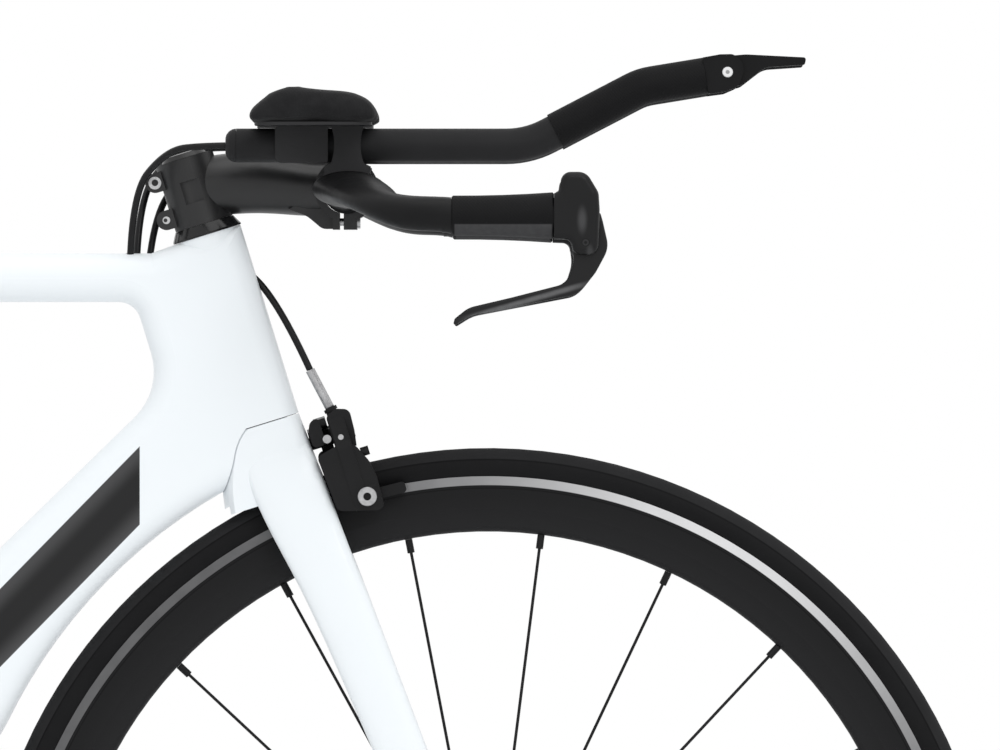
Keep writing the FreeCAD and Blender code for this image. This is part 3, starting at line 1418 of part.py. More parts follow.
def brake_levers():
    """The two curved lever blades, drawn back under the grips."""
    px, pz = LEVER_PIVOT.x, LEVER_PIVOT.z
    corners = [(8.3, 24, 3), (11.2, 14, 10), (15.2, -3.5, 16), (6.6, -19.5, 22), (-4.5, -33.6, 16)]
    corners += [(-74, -47, 24), (-86.4, -54.8, 1.2), (-85, -49.4, 2.4), (-76, -42.2, 18), (-48, -35.6, 80), (-12, -26.4, 12)]
    corners += [(-7.6, -12, 22), (-9.5, 3, 6), (0, 12, 9)]
    outline = rounded([(px + x, pz + z, radius) for x, z, radius in corners])
    hole = [circle(size("pin_radius") + size("pin_fit"), px, pz)]
    plain = extrude("lever_plain", outline + hole, at_side(LEVER_PIVOT.y), "sizes.lever_width")

    def blade_edge(edge):
        middle = edge.CenterOfMass
        on_face = abs(abs(middle.y - LEVER_PIVOT.y) - size("lever_width") / 2) < 1e-6
        return on_face and middle.distanceToPoint(V(px, middle.y, pz)) > 2

    blade = fillet("lever_blade", plain, size("lever_edge"), blade_edge)
    subpart(blade, "brake_lever_left")
    subpart(mirror("lever_blade_right", blade), "brake_lever_right")


def extensions():
    """Two bent tubes, each with a plug behind."""
    route = [EXT_BACK, EXT_BEND, EXT_ELBOW, EXT_END]
    bends = [60, size("extension_elbow")]
    radius = size("extension_radius")
    tube = rod("extension_tube", route, bends, radius)
    hollow = rod("extension_hollow", [EXT_BACK - V(5, 0, 0)] + route[1:3] + [EXT_END + EXT_TIP_WAY * 5], bends,
                 radius - size("extension_wall"))
    wall = cut("extension_wall_tube", tube, [hollow])
    cap_at = FreeCAD.Placement(EXT_BACK, FreeCAD.Rotation(V(0, 0, 1), 90))
    bore = size("cable_radius") + size("cable_gap")
    inside = radius - size("extension_wall") - size("seat_gap")
    plug = [(bore, -14), (inside, -14), (inside, 0.2), (radius, 0.2), (radius - 0.5, 2.6), (radius - 1.9, 4.8),
            (radius - 4, 6.4), (radius - 6, 7), (bore, 7)]
    end_plug = revolve("extension_plug", polygon(plug), cap_at)
    both = group("extension_one", [wall, end_plug])
    return subpart(pair("extension_set", both), "extensions")


def concave_post():
    """Side view of the clamp that stands on the bar and holds an extension."""
    x, low, high = BAR.x + 1, BAR.z + 7.6, EXT_Z + size("extension_radius") + 1.6
    half, foot, waist = 10.8, 15.2, 8.6
    mid = (low + high) / 2 + 4
    curves = [line((x - foot, low), (x + foot, low)), line((x + foot, low), (x + foot, low + 7))]
    curves.append(line((x + foot, low + 7), (x + half, low + 9)))
    curves.append(arc((x + half, low + 9), (x + waist, mid), (x + half, high)))
    curves.append(line((x + half, high), (x - half, high)))
    curves.append(arc((x - half, high), (x - waist, mid), (x - half, low + 9)))
    curves.append(line((x - half, low + 9), (x - foot, low + 7)))
    curves.append(line((x - foot, low + 7), (x - foot, low)))
    return curves


def extension_clamps():
    """On each side a post on the bar, a clamp block behind it and the plate under the pad."""
    view = at_side(EXT_Y)
    radius = size("extension_radius")
    post = extrude("clamp_post", concave_post(), view, "sizes.clamp_width")
    top = EXT_Z + radius + 1.6
    block = extrude("clamp_block", rounded([(355.6, EXT_Z - 11.4, 4), (390.2, EXT_Z - 11.4, 2), (390.2, top, 1), (355.6, top, 3)]),
                    view, "sizes.clamp_width - 2")
    tube_at = place(EXT_BACK - V(20, 0, 0), ALONG_X)
    tube = cylinder("extension_bore", tube_at, "sizes.extension_radius + sizes.seat_gap", "200")
    saddle_cut = loft("bar_clear", bar_sections(size("seat_gap") + 0.1))
    post_cut = cut("clamp_post_cut", post, [tube, saddle_cut])
    block_cut = cut("clamp_block_cut", block, [tube])
    low, half = top + size("seat_gap"), size("pad_width") / 2
    x, y = size("pad_x"), size("pad_y")
    length = size("pad_length")
    plate_outline = rounded([(x - length / 2 + 6, y - half + 6, 14), (x + length / 2 - 6, y - half + 6, 14),
                             (x + length / 2 - 6, y + half - 6, 14), (x - length / 2 + 6, y + half - 6, 14)])
    plate = extrude("pad_plate", plate_outline, place(V(0, 0, low)), "sizes.plate_thick", False)
    return subpart(pair("clamp_set", group("clamp_one", [post_cut, block_cut, plate])), "extension_clamps")


PAD_SIDE = [(8, -5), (20, -5.2), (32, -5.2), (44, -5.2), (56, -5.2), (68, -5.2), (79, -5), (86.6, -2.2), (87.8, 5),
            (84.2, 12.2), (76.5, 17.2), (65, 20), (52, 21.2), (39, 22.4), (27, 22.7), (16.5, 19.4), (7.6, 12.8), (1, 6.2), (1.6, -1.8)]
PAD_ACROSS = [(-1, 0.8), (-0.95, 0.93), (-0.83, 0.985), (-0.4, 1), (0.4, 1), (0.83, 0.985), (0.95, 0.93), (1, 0.8)]


def armrest_pads():
    """Two cradle pads: highest behind, crowned, drawn in at the sides, with a trough for the forearm."""
    x, y = size("pad_x"), size("pad_y")
    length, half = size("pad_length"), size("pad_width") / 2
    low = EXT_Z + size("extension_radius") + 1.6 + 2 * size("seat_gap") + size("plate_thick")
    sections = []
    for across, share in PAD_ACROSS:
        spots = [V(x + (along - length / 2) * share, y + half * across, low + up * share) for along, up in PAD_SIDE]
        curve = Part.BSplineCurve()
        curve.interpolate(Points=spots, PeriodicFlag=True)
        sections.append(Part.Wire([curve.toShape()]))
    pad = loft("pad_form", sections)
    trough_r = size("trough_radius")
    trough_at = place(V(x - length, y, low + size("pad_floor") + trough_r), ALONG_X)
    trough = cylinder("pad_trough", trough_at, "sizes.trough_radius", "2 * sizes.pad_length")
    under_at = place(V(x - length, y - half - 5, low - 15))
    under = box("pad_under", under_at, "2 * sizes.pad_length", "sizes.pad_width + 10", "15")
    return subpart(pair("pad_set", cut("pad_cut", pad, [trough, under])), "armrest_pads")


def shift_view(y):
    """A side-view drawing plane at a shifter, with x along the end of the extension."""
    turn = FreeCAD.Rotation(V(0, 1, 0), -math.degrees(EXT_TIP))
    return place(V(SHIFT_PIVOT.x, y, SHIFT_PIVOT.z), turn.multiply(SIDE))


def shifter_bodies():
    """A fork plugged into the end of each extension, with the pivot bolt of the shift lever."""
    turn = FreeCAD.Rotation(V(0, 1, 0), 90 - math.degrees(EXT_TIP))
    ahead = size("shift_pivot_ahead")
    wide = size("shifter_width")
    tall = size("extension_grip_radius")
    fork_outline = rounded([(size("end_gap") - ahead, -tall, 0), (-3.4, -tall - 0.3, 4), (6, -10, 6), (10.6, -1, 8), (10.6, 5, 6),
                            (6, 11, 6), (-3, tall + 0.2, 4), (size("end_gap") - ahead, tall, 0)])
    block = extrude("shifter_fork", fork_outline, shift_view(EXT_Y), "sizes.shifter_width")
    slot = extrude("shifter_slot", polygon([(-13.5, -20), (30, -20), (30, 20), (-13.5, 20)]), shift_view(EXT_Y),
                   "sizes.shift_lever_width + 1.2")
    plug_at = place(EXT_END - EXT_TIP_WAY * 20, turn)
    plug = cylinder("shifter_plug", plug_at, "sizes.extension_radius - sizes.extension_wall - sizes.seat_gap", "24")
    pivot_at = V(SHIFT_PIVOT.x, EXT_Y, SHIFT_PIVOT.z)
    pin = across_rod("shifter_pin", place(pivot_at), size("pin_radius"), wide + 3)
    body = fuse("shifter_body", [cut("shifter_fork_cut", block, [slot]), plug, pin])
    return subpart(pair("shifter_set", body), "shifter_bodies")


def shift_levers():
    """Flat paddles that point forward from the pivots."""
    corners = [(-10.5, -6, 7), (-6, 11, 8), (13.6, 9.6, 30), (52.4, 1.2, 1.5), (50.8, -3.4, 1.5), (24.5, -0.9, 14)]
    corners += [(6.6, -10.6, 8)]
    hole = [circle(size("pin_radius") + size("pin_fit"))]
    blade = extrude("shift_blade", rounded(corners) + hole, shift_view(EXT_Y), "sizes.shift_lever_width")
    subpart(blade, "shift_lever_left")
    subpart(mirror("shift_blade_right", blade), "shift_lever_right")


stem()
cockpit_bolts()
base_bar()
bar_grips()
lever_bodies()
brake_levers()
extensions()
extension_clamps()
armrest_pads()
shifter_bodies()
shift_levers()


# Brakes, drawn in the steering frame: x ahead, y to the left, z up

HUB_LOCAL = FRONT_BRAKE.inverse().multVec(FRONT)
PAD_AT = V(size("pad_bolt_ahead"), 0, size("pad_bolt_up"))
PAD_LEAN = 90 - math.degrees(math.atan2(PAD_AT.z - HUB_LOCAL.z, PAD_AT.x - HUB_LOCAL.x))


def brake_slice(where, ahead):
    """A drawing plane square to a brake's bolt; x runs to the left and y up."""
    return where.multiply(frame_of(V(ahead, 0, 0), V(0, 1, 0), V(0, 0, 1)))


def along_bolt(name, where, side, up, start, length, radius):
    """A cylinder along a brake's bolt direction."""
    return cylinder(name, where.multiply(place(V(start, side, up), ALONG_X)), radius, str(length))


def brake_bracket(end, where):
    """The centre bolt, its spacer and nut, and the plate with the second pivot."""
    up = size("brake_bolt_up")
    face = size("brake_face")
    side, high = size("second_pivot_side"), up + size("second_pivot_up")
    bolt = along_bolt("brake_bolt", where, 0, up, -7, 7 + face + 29, "sizes.brake_bolt_radius")
    spacer = along_bolt("brake_spacer", where, 0, up, face, 15.2, "5.5")
    nut = along_bolt("brake_nut", where, 0, up, face + 26.2, 3.6, "5")
    plate_outline = rounded([(-6, up - 6, 5), (side + 5, up - 3, 5), (side + 5, high + 5, 4), (-6, up + 6, 5)])
    plate = extrude("brake_plate", plate_outline, brake_slice(where, face), "5", False)
    pin = along_bolt("brake_pin", where, side, high, face, 14.5, "sizes.brake_bolt_radius")
    return subpart(fuse(f"{end}_brake_bracket_joined", [bolt, spacer, nut, plate, pin]), f"{end}_brake_bracket")


def brake_shoe(where, hand):
    """A rubber pad in its metal holder, with the bolt that holds it to the arm."""
    inside = size("rim_width") / 2 + size("pad_gap")
    length, tall = size("shoe_length"), size("shoe_height")
    solids = []
    ends = [(-length / 2, -tall / 2), (length / 2, -tall / 2), (length / 2, tall / 2), (-length / 2, tall / 2)]
    outline = rounded([(x, z, 2.5) for x, z in ends])
    for name, start, thick in (("pad_rubber", inside, 5.4), ("pad_holder", inside + 5.6, 3)):
        middle = V(0, hand * (start + thick / 2), 0)
        at = where.multiply(place(PAD_AT + middle, FreeCAD.Rotation(V(0, 1, 0), PAD_LEAN)))
        solids.append(extrude(name, outline, at.multiply(place(V(0, 0, 0), SIDE)), str(thick)))
    turn = ALONG_Y if hand > 0 else SIDE
    foot = inside + 8.6
    stud = cylinder("pad_stud", where.multiply(place(PAD_AT + V(0, hand * foot, 0), turn)), "2.8", "14")
    head = cylinder("pad_bolt_head", where.multiply(place(PAD_AT + V(0, hand * (foot + 12.4), 0), turn)), "5.8", "4")
    hex_hole = cylinder("pad_bolt_socket", where.multiply(place(PAD_AT + V(0, hand * (foot + 14.4), 0), turn)), "2.5", "4")
    solids.append(cut("pad_bolt", fuse("pad_bolt_joined", [stud, head]), [hex_hole]))
    return solids


def brake_arm(name, where, outline, start, thick, pivot, hand, label, extra):
    """One brake arm: a curved plate, a foot that reaches ahead to the shoe, and the shoe."""
    plate = extrude(name + "_plate", rounded(outline), brake_slice(where, start), str(thick), False)
    side = hand * 27
    foot_outline = rounded([(side - 5.5, 294, 4), (side + 5.5, 294, 4), (side + 5.5, 309, 3), (side - 5.5, 309, 3)])
    reach = size("pad_bolt_ahead") + 8 - start
    foot = extrude(name + "_foot", foot_outline, brake_slice(where, start), str(reach), False)
    near = size("brake_face") + size("cheek_gap")
    cheek_outline = rounded([(near, 335.5, 3.5), (start - 1.5, 338.4, 3.5), (start + 11.6, 336.6, 6), (57.4, 324, 8), (59.6, 312, 10),
                             (58.6, 291.5, 4), (54, 290.2, 4), (near + 2.6, 297.4, 5), (near + 1.2, 316, 20)])
    cheek_at = where.multiply(place(V(0, side, 0), SIDE))
    cheek = extrude(name + "_cheek", cheek_outline, cheek_at, "sizes.cheek_thick")
    body = fuse(name + "_body", [plate, foot, cheek] + extra)
    bore = along_bolt(name + "_bore", where, pivot[0], pivot[1], start - 2, thick + 4, "sizes.brake_bolt_radius + sizes.pin_fit")
    turn = ALONG_Y
    hole_at = where.multiply(place(PAD_AT + V(0, side - 10, 0), turn))
    hole = cylinder(name + "_stud_hole", hole_at, "3", "20")
    arm = cut(name + "_arm", body, [bore, hole])
    return subpart(group(name + "_set", [arm] + brake_shoe(where, hand)), label)


def brake(end, where, tower_label, plain_label):
    """A two-pivot caliper: one arm on the centre bolt with the cable tower, one on the second pivot."""
    up = size("brake_bolt_up")
    face = size("brake_face")
    brake_bracket(end, where)
    tower = [(7.5, 340, 5), (7.5, 353, 5), (-6, 356, 4), (-8, 361, 2), (-22, 361, 3), (-25, 353, 6), (-33, 338, 14)]
    tower += [(-32.5, 294, 4), (-21.5, 294, 4), (-20.5, 318, 20), (-18, 332, 12), (-8, 339.5, 6)]
    stop = V(face + 19.8, -15, 360)
    way = V(-0.18, 0, 0.98).normalize()
    turn = FreeCAD.Rotation(V(0, 0, 1), way)
    adjuster = cylinder("brake_adjuster", where.multiply(place(stop, turn)), "sizes.adjuster_radius", "sizes.adjuster_length")
    knurl = cylinder("brake_knurl", where.multiply(place(stop + way * 1.6, turn)), "sizes.adjuster_radius + 1.4", "2.4")
    block_outline = rounded([(face + 14.8, 337, 0), (face + 14.8, 359, 4), (face + 22, 362.4, 3), (face + 31, 359.4, 5),
                             (face + 30.2, 345, 10), (face + 28.6, 335, 0)])
    block = extrude("brake_tower", block_outline, where.multiply(place(V(0, -16.2, 0), SIDE)), "15")
    knob = along_bolt("brake_knob", where, -27, 330, face + 30, 5.5, "3")
    screw = across_rod("brake_screw", where.multiply(place(V(face + 20.4, -22.3, 343.4))), 1.6, 4.4)
    brake_arm(f"{end}_tower_arm", where, tower, face + 15.8, 10, (0, up), -1, tower_label,
              [adjuster, knurl, block, knob, screw])
    plain = [(-19, 352.6, 2.5), (-19, 358.8, 2.5), (10, 360, 6), (26, 351, 9), (33, 338, 14), (32.5, 294, 4), (21.5, 294, 4)]
    plain += [(20.5, 318, 20), (18.5, 331, 10), (9.5, 341, 5), (6, 353, 5), (-2, 355.5, 3)]
    pivot = (size("second_pivot_side"), up + size("second_pivot_up"))
    lobe_outline = rounded([(face + 1, 341.5, 3), (face + 1, 353, 5), (face + 3.8, 359.5, 5), (face + 9.8, 359.5, 2),
                            (face + 9.8, 341.5, 3)])
    lobe = extrude("brake_lobe", lobe_outline, where.multiply(place(V(0, -15, 0), SIDE)), "12")
    anchor = across_rod("brake_anchor", where.multiply(place(V(face + 11.3, -16, 344.8))), 2.8, 16)
    brake_arm(f"{end}_plain_arm", where, plain, face + 5.8, 8, pivot, 1, plain_label, [lobe, anchor])


brake("front", FRONT_BRAKE, "front_brake_arm_right", "front_brake_arm_left")
brake("rear", REAR_BRAKE, "rear_brake_arm_left", "rear_brake_arm_right")
cables("control_cables", ["right_shift", "left_shift", "rear_brake_front", "front_brake"])
cables("rear_cables", ["rear_brake", "rear_shift"])


# Drivetrain

PITCH = size("chain_pitch")
CHAIN_Y = -size("chain_line")


def pitch_radius(teeth):
    return PITCH / 2 / math.sin(math.pi / teeth)


def toothed(teeth, phase):
    """The outline of a chain wheel; a tooth gap lies at the phase angle."""
    radius, gap = pitch_radius(teeth), size("tooth_gap")
    tip, tip_half = radius + size("tooth_height"), size("tooth_tip") / 2
    curves = []
    for i in range(teeth):
        at = phase + 2 * math.pi * i / teeth
        middle = (radius * math.cos(at), radius * math.sin(at))
        inward = math.degrees(at) + 180
        foot_a, floor, foot_b = [on_circle(middle, gap, inward + turn) for turn in (65, 0, -65)]
        crest = at + math.pi / teeth
        tips = [on_circle((0, 0), tip, math.degrees(crest + side * tip_half / tip)) for side in (-1, 1)]
        following = at + 2 * math.pi / teeth
        next_mid = (radius * math.cos(following), radius * math.sin(following))
        next_foot = on_circle(next_mid, gap, math.degrees(following) + 180 + 65)
        curves += [arc(foot_a, floor, foot_b), line(foot_b, tips[0]), line(tips[0], tips[1]), line(tips[1], next_foot)]
    return curves


def chain_wheel(name, centre, y, teeth, phase, bore, thick):
    """A toothed plate with a round bore, centred at a distance to the left."""
    at = place(V(centre.x, y, centre.z), SIDE)
    return extrude(name, toothed(teeth, phase) + [circle(bore)], at, thick)


BIG, SMALL, COG, PULLEY = 53, 39, 14, 11
GUIDE = REAR + V(size("guide_ahead"), 0, -size("guide_drop"))


def tangent_run(first, second):
    """Where a chain leaves one wheel and reaches the next; +1 turns clockwise seen from the right."""
    (x1, z1, r1, s1), (x2, z2, r2, s2) = first, second
    reach = math.hypot(x2 - x1, z2 - z1)
    heading = math.atan2(z2 - z1, x2 - x1) - math.acos((s2 * r2 - s1 * r1) / reach)
    nx, nz = math.cos(heading), math.sin(heading)
    return (x1 - s1 * r1 * nx, z1 - s1 * r1 * nz), (x2 - s2 * r2 * nx, z2 - s2 * r2 * nz)


def chain_loop(cage_angle):
    """The chain's path as arcs and straight runs, each with its length counted in links."""
    tension = GUIDE + V(math.cos(cage_angle), 0, math.sin(cage_angle)) * size("cage_length")
    wheels = [(BB, BIG, 1), (tension, PULLEY, 1), (GUIDE, PULLEY, -1), (REAR, COG, 1)]
    rounds = [(at.x, at.z, pitch_radius(teeth), sense) for at, teeth, sense in wheels]
    runs = [tangent_run(rounds[i], rounds[(i + 1) % 4]) for i in range(4)]
    path = []
    for i, (at, teeth, sense) in enumerate(wheels):
        entry, leave = runs[i - 1][1], runs[i][0]
        first = math.atan2(entry[1] - at.z, entry[0] - at.x)
        last = math.atan2(leave[1] - at.z, leave[0] - at.x)
        sweep = ((first - last) * sense) % (2 * math.pi)
        path.append(("arc", at, pitch_radius(teeth), first, -sense * sweep, sweep * teeth / (2 * math.pi)))
        start, end = runs[i]
        path.append(("run", start, end, 0, 0, math.hypot(end[0] - start[0], end[1] - start[1]) / PITCH))
    return path, tension


def links_in(cage_angle):
    return sum(piece[5] for piece in chain_loop(cage_angle)[0])


def settle_cage():
    """The cage angle at which the loop is a whole, even number of links."""
    low, high = math.radians(-110), math.radians(-20)
    middle = math.radians(size("cage_angle"))
    wanted = 2 * round(links_in(middle) / 2)
    rising = links_in(high) > links_in(low)
    for _ in range(60):
        middle = (low + high) / 2
        if (links_in(middle) > wanted) == rising:
            high = middle
        else:
            low = middle
    return middle, wanted


CAGE_ANGLE, LINKS = settle_cage()
LOOP, TENSION = chain_loop(CAGE_ANGLE)


def roller_places():
    """The pin centres of the chain, one pitch apart round the loop."""
    spots = []
    start = 0.0
    for kind, a, b, first, sweep, count in LOOP:
        for i in range(math.ceil(start - 1e-9), math.ceil(start + count - 1e-9)):
            part = (i - start) / count
            if kind == "arc":
                angle = first + sweep * part
                spots.append((a.x + b * math.cos(angle), a.z + b * math.sin(angle)))
            else:
                spots.append((a[0] + (b[0] - a[0]) * part, a[1] + (b[1] - a[1]) * part))
        start += count
    return spots


ROLLERS = roller_places()


def phase_of(centre, teeth):
    """The angle of a tooth gap that holds a roller of the resting chain."""
    radius = pitch_radius(teeth)
    near = min(ROLLERS, key=lambda spot: abs(math.hypot(spot[0] - centre.x, spot[1] - centre.z) - radius))
    return math.atan2(near[1] - centre.z, near[0] - centre.x)


def link_plate(inner_y, outer_y):
    """A pair of chain side plates, one pitch between their round ends."""
    half, tall = PITCH / 2, size("link_height") / 2
    ends = [Part.Arc(V(half, 0, -tall), V(half + tall, 0, 0), V(half, 0, tall)).toShape()]
    ends.append(Part.LineSegment(V(half, 0, tall), V(-half, 0, tall)).toShape())
    ends.append(Part.Arc(V(-half, 0, tall), V(-half - tall, 0, 0), V(-half, 0, -tall)).toShape())
    ends.append(Part.LineSegment(V(-half, 0, -tall), V(half, 0, -tall)).toShape())
    face = Part.Face(Part.Wire(ends))
    plates = []
    for low in (-outer_y, inner_y):
        plate = face.extrude(V(0, outer_y - inner_y, 0))
        plate.translate(V(0, low, 0))
        plates.append(plate)
    return plates


def cross_pins(radius, half_length):
    return [Part.makeCylinder(radius, 2 * half_length, V(x, -half_length, 0), V(0, 1, 0)) for x in (-PITCH / 2, PITCH / 2)]


def chain():
    """Inner links with rollers and outer links with pins, by turns, laid round the loop."""
    inside, mid, outside = size("link_inside"), size("link_middle"), size("link_outside")
    gap = size("link_gap")
    inner = link_plate(inside, mid)
    rolls = cross_pins(size("roller_radius"), inside)
    inner_link = inner[0].multiFuse([inner[1]] + rolls)
    for hole in cross_pins(size("link_pin_radius") + gap * 2, mid + 1):
        inner_link = inner_link.cut(hole)
    outer = link_plate(mid + gap, outside)
    outer_link = outer[0].multiFuse([outer[1]] + cross_pins(size("link_pin_radius"), outside))
    made = []
    for i in range(LINKS):
        (x1, z1), (x2, z2) = ROLLERS[i], ROLLERS[(i + 1) % LINKS]
        turn = FreeCAD.Rotation(V(0, 1, 0), -math.degrees(math.atan2(z2 - z1, x2 - x1)))
        link = (inner_link if i % 2 else outer_link).copy()
        link.Placement = place(V((x1 + x2) / 2, CHAIN_Y, (z1 + z2) / 2), turn)
        made.append(link)
    return subpart(shape("chain_links", Part.makeCompound(made)), "chain")


def cassette():
    """Eleven sprockets with spacers on the freehub, and the ring that locks them."""
    step = size("cog_step")
    first = CHAIN_Y - 3 * step
    body_r = size("freehub_radius")
    inner = size("axle_radius") + size("axle_fit")
    solids = []
    for i, teeth in enumerate((11, 12, 13, 14, 15, 16, 17, 19, 21, 23, 25)):
        phase = phase_of(REAR, COG) if teeth == COG else 0.1 * i
        y = first + i * step
        solids.append(chain_wheel(f"cog_{teeth}", REAR, y, teeth, phase, body_r + 0.05, "sizes.cog_thick"))
        if i:
            half = size("cog_thick") / 2
            solids.append(ring("cog_spacer", place(REAR), body_r + 2, body_r + 0.05, y - step + half, y - half))
    end = first - size("cog_thick") / 2
    hub_face = REAR_HUB_ENDS[0] - 0.6
    solids.append(ring("freehub", place(REAR), body_r, inner, end, hub_face))
    solids.append(ring("lock_ring", place(REAR), body_r - 0.6, inner + 3, end - 2.4, end))
    return subpart(group("cassette_set", solids), "cassette")


def ring_bolts():
    """Angles of the spider's arms."""
    count = int(size("spider_arms"))
    return [math.radians(36 + 360 / count * i) for i in range(count)]


def spot_on(centre, radius, angle, y):
    return V(centre.x + radius * math.cos(angle), y, centre.z + radius * math.sin(angle))


def chainrings():
    """The two chainrings and their bolts."""
    reach = size("bolt_circle") / 2
    rings = []
    for name, teeth, y in (("big_ring", BIG, CHAIN_Y), ("small_ring", SMALL, CHAIN_Y + size("ring_step"))):
        phase = phase_of(BB, BIG) if teeth == BIG else 0
        plate = chain_wheel(name + "_plate", BB, y, teeth, phase, reach - 7, "sizes.ring_thick")
        holes = [cylinder("ring_hole", place(spot_on(BB, reach, angle, y - 5), ALONG_Y), "4.2", "10") for angle in ring_bolts()]
        rings.append(cut(name, plate, holes))
    half = size("ring_thick") / 2
    low, high = CHAIN_Y - half, CHAIN_Y + size("ring_step") + half
    for angle in ring_bolts():
        shank = cylinder("ring_bolt", place(spot_on(BB, reach, angle, low - 1), ALONG_Y), "4", str(high - low + 2))
        head = cylinder("ring_bolt_head", place(spot_on(BB, reach, angle, low - 1.6), ALONG_Y), "5.6", "1.5")
        nut = cylinder("ring_bolt_nut", place(spot_on(BB, reach, angle, high + 0.1), ALONG_Y), "5.6", "1.3")
        rings.append(fuse("ring_bolt_joined", [shank, head, nut]))
    return subpart(group("chainring_set", rings), "chainrings")


def crank_arm(name, hand, way):
    """A tapering crank; hand is -1 for the right side and way is +1 for an arm that points forward."""
    length = size("crank_length")
    near, far = size("crank_near"), size("crank_far")
    rows = [(-20, 0, 11, 4), (-12, 0, 17, 7), (4, 0, 19, 8), (50, 0.25, 14.5, 7.5), (130, 0.8, 12, 6.4), (165, 1, 13.5, 6.4)]
    rows += [(length + 8, 1, 12.5, 6), (length + 14.5, 1, 7, 4)]
    sections = []
    for along, part, tall, wide in rows:
        y = hand * (near + (far - near) * part)
        sections.append(oval(BB + V(way * along, y, 0), tall, V(0, 0, 1), wide, V(0, 1, 0), 2.4))
    return loft(name, sections)


def pedal_shaft(name, hand, way):
    """The pedal's axle, screwed into the end of a crank."""
    at = BB + V(way * size("crank_length"), hand * (size("crank_far") - 4), 0)
    turn = ALONG_Y if hand > 0 else SIDE
    collar = cylinder(name + "_collar", place(at, turn), "7.5", "16")
    shaft = cylinder(name, place(at, turn), "sizes.pedal_axle_radius", "sizes.pedal_axle_length")
    return [collar, shaft]


def cranks():
    """The right crank with spider and spindle, and the left crank on the spindle's other end."""
    near = size("crank_near")
    arm = crank_arm("crank_arm_right", -1, 1)
    spindle_at = place(BB + V(0, -near, 0), ALONG_Y)
    spindle = cylinder("spindle", spindle_at, "sizes.spindle_radius", str(2 * near + 6))
    inner_face = -size("cup_face") - 0.6
    boss = cylinder("spider_boss", place(BB + V(0, -near - 4, 0), ALONG_Y), "sizes.spider_boss", str(near + 4 + inner_face))
    tab_low, tab_high = CHAIN_Y + size("ring_thick") / 2 + 0.1, CHAIN_Y + size("ring_step") - size("ring_thick") / 2 - 0.1
    reach = size("bolt_circle") / 2
    tabs, arms = [], []
    for angle in ring_bolts():
        turn = FreeCAD.Rotation(V(0, 1, 0), -math.degrees(angle)).multiply(SIDE)
        outline = rounded([(30, -8.5, 1), (reach - 4, -7.5, 4), (reach + 7, -7, 5), (reach + 7, 7, 5),
                           (reach - 4, 7.5, 4), (30, 8.5, 1)])
        at = place(V(BB.x, (tab_low + tab_high) / 2, BB.z), turn)
        tabs.append(extrude("spider_tab", outline + [circle(4.2, reach)], at, str(tab_high - tab_low)))
        end = size("spider_inner")
        spoke = rounded([(10, -11, 1), (end, -8, 3), (end, 8, 3), (10, 11, 1)])
        outer_face = inner_face - 7
        at = place(V(BB.x, (inner_face + outer_face) / 2, BB.z), turn)
        arms.append(extrude("spider_arm", spoke, at, str(inner_face - outer_face)))
    whole = fuse("crank_right_joined", [arm, spindle, boss] + arms + tabs + pedal_shaft("right_pedal_shaft", -1, 1))
    subpart(whole, "crank_right")
    left = crank_arm("crank_arm_left", 1, -1)
    hub = cylinder("crank_left_boss", place(BB + V(0, size("cup_face") + 0.6, 0), ALONG_Y), "18", str(near + 6 - size("cup_face")))
    joined = fuse("crank_left_joined", [left, hub] + pedal_shaft("left_pedal_shaft", 1, -1))
    bore = cylinder("crank_left_bore", spindle_at, "sizes.spindle_radius + sizes.axle_fit", "200")
    subpart(cut("crank_left_bored", joined, [bore]), "crank_left")


def cups():
    """The two bearing cups outside the bottom bracket shell."""
    inner = size("spindle_radius") + size("axle_fit")
    half = size("bb_shell_width") / 2 + size("seat_gap")
    rings = []
    for low, high in ((-size("cup_face"), -half), (half, size("cup_face"))):
        rings.append(ring("bb_cup", place(BB), size("cup_radius"), inner, low, high))
    sleeve = ring("bb_sleeve", place(BB), size("bb_bore_radius") - size("seat_gap"), inner + 1.5, -half + 1, half - 1)
    return subpart(group("cup_set", rings + [sleeve]), "bottom_bracket_cups")


def pedal(name, hand, way):
    """A one-sided clip pedal: broad platform, open middle, spring block behind."""
    centre = BB + V(way * size("crank_length"), 0, 0)
    start = hand * (size("crank_far") + 14)
    end = hand * (size("crank_far") - 4 + size("pedal_axle_length") + 2)
    low, high = min(start, end), max(start, end)
    mid = (low + high) / 2
    x = centre.x
    outline = rounded([(x + 46, mid - 17, 7), (x + 46, mid + 17, 7), (x + 8, high, 8), (x - 18, high, 8), (x - 44, mid + 22, 7),
                       (x - 44, mid - 22, 7), (x - 18, low, 8), (x + 8, low, 8)])
    window = rounded([(x + 36, mid - 10, 4), (x + 36, mid + 10, 4), (x + 14, mid + 13, 4), (x + 14, mid - 13, 4)])
    deck = extrude(name + "_deck", outline + window, place(V(0, 0, centre.z + 2)), "10")
    barrel = cylinder(name + "_barrel", place(V(x, low, centre.z), ALONG_Y), "9", str(high - low))
    spring = box(name + "_spring", place(V(x - 43, mid - 20, centre.z + 4)), "13", "40", "9")
    bore = cylinder(name + "_bore", place(V(x, low - 1, centre.z), ALONG_Y), "sizes.pedal_axle_radius + sizes.axle_fit",
                    str(high - low - 1 if hand > 0 else high - low + 2))
    if hand < 0:
        bore.Placement = place(V(x, low + 2, centre.z), ALONG_Y)
    return cut(name + "_cut", fuse(name + "_joined", [deck, barrel, spring]), [bore])


def pedals():
    subpart(pedal("pedal_right", -1, 1), "right_pedal")
    subpart(pedal("pedal_left", 1, -1), "left_pedal")


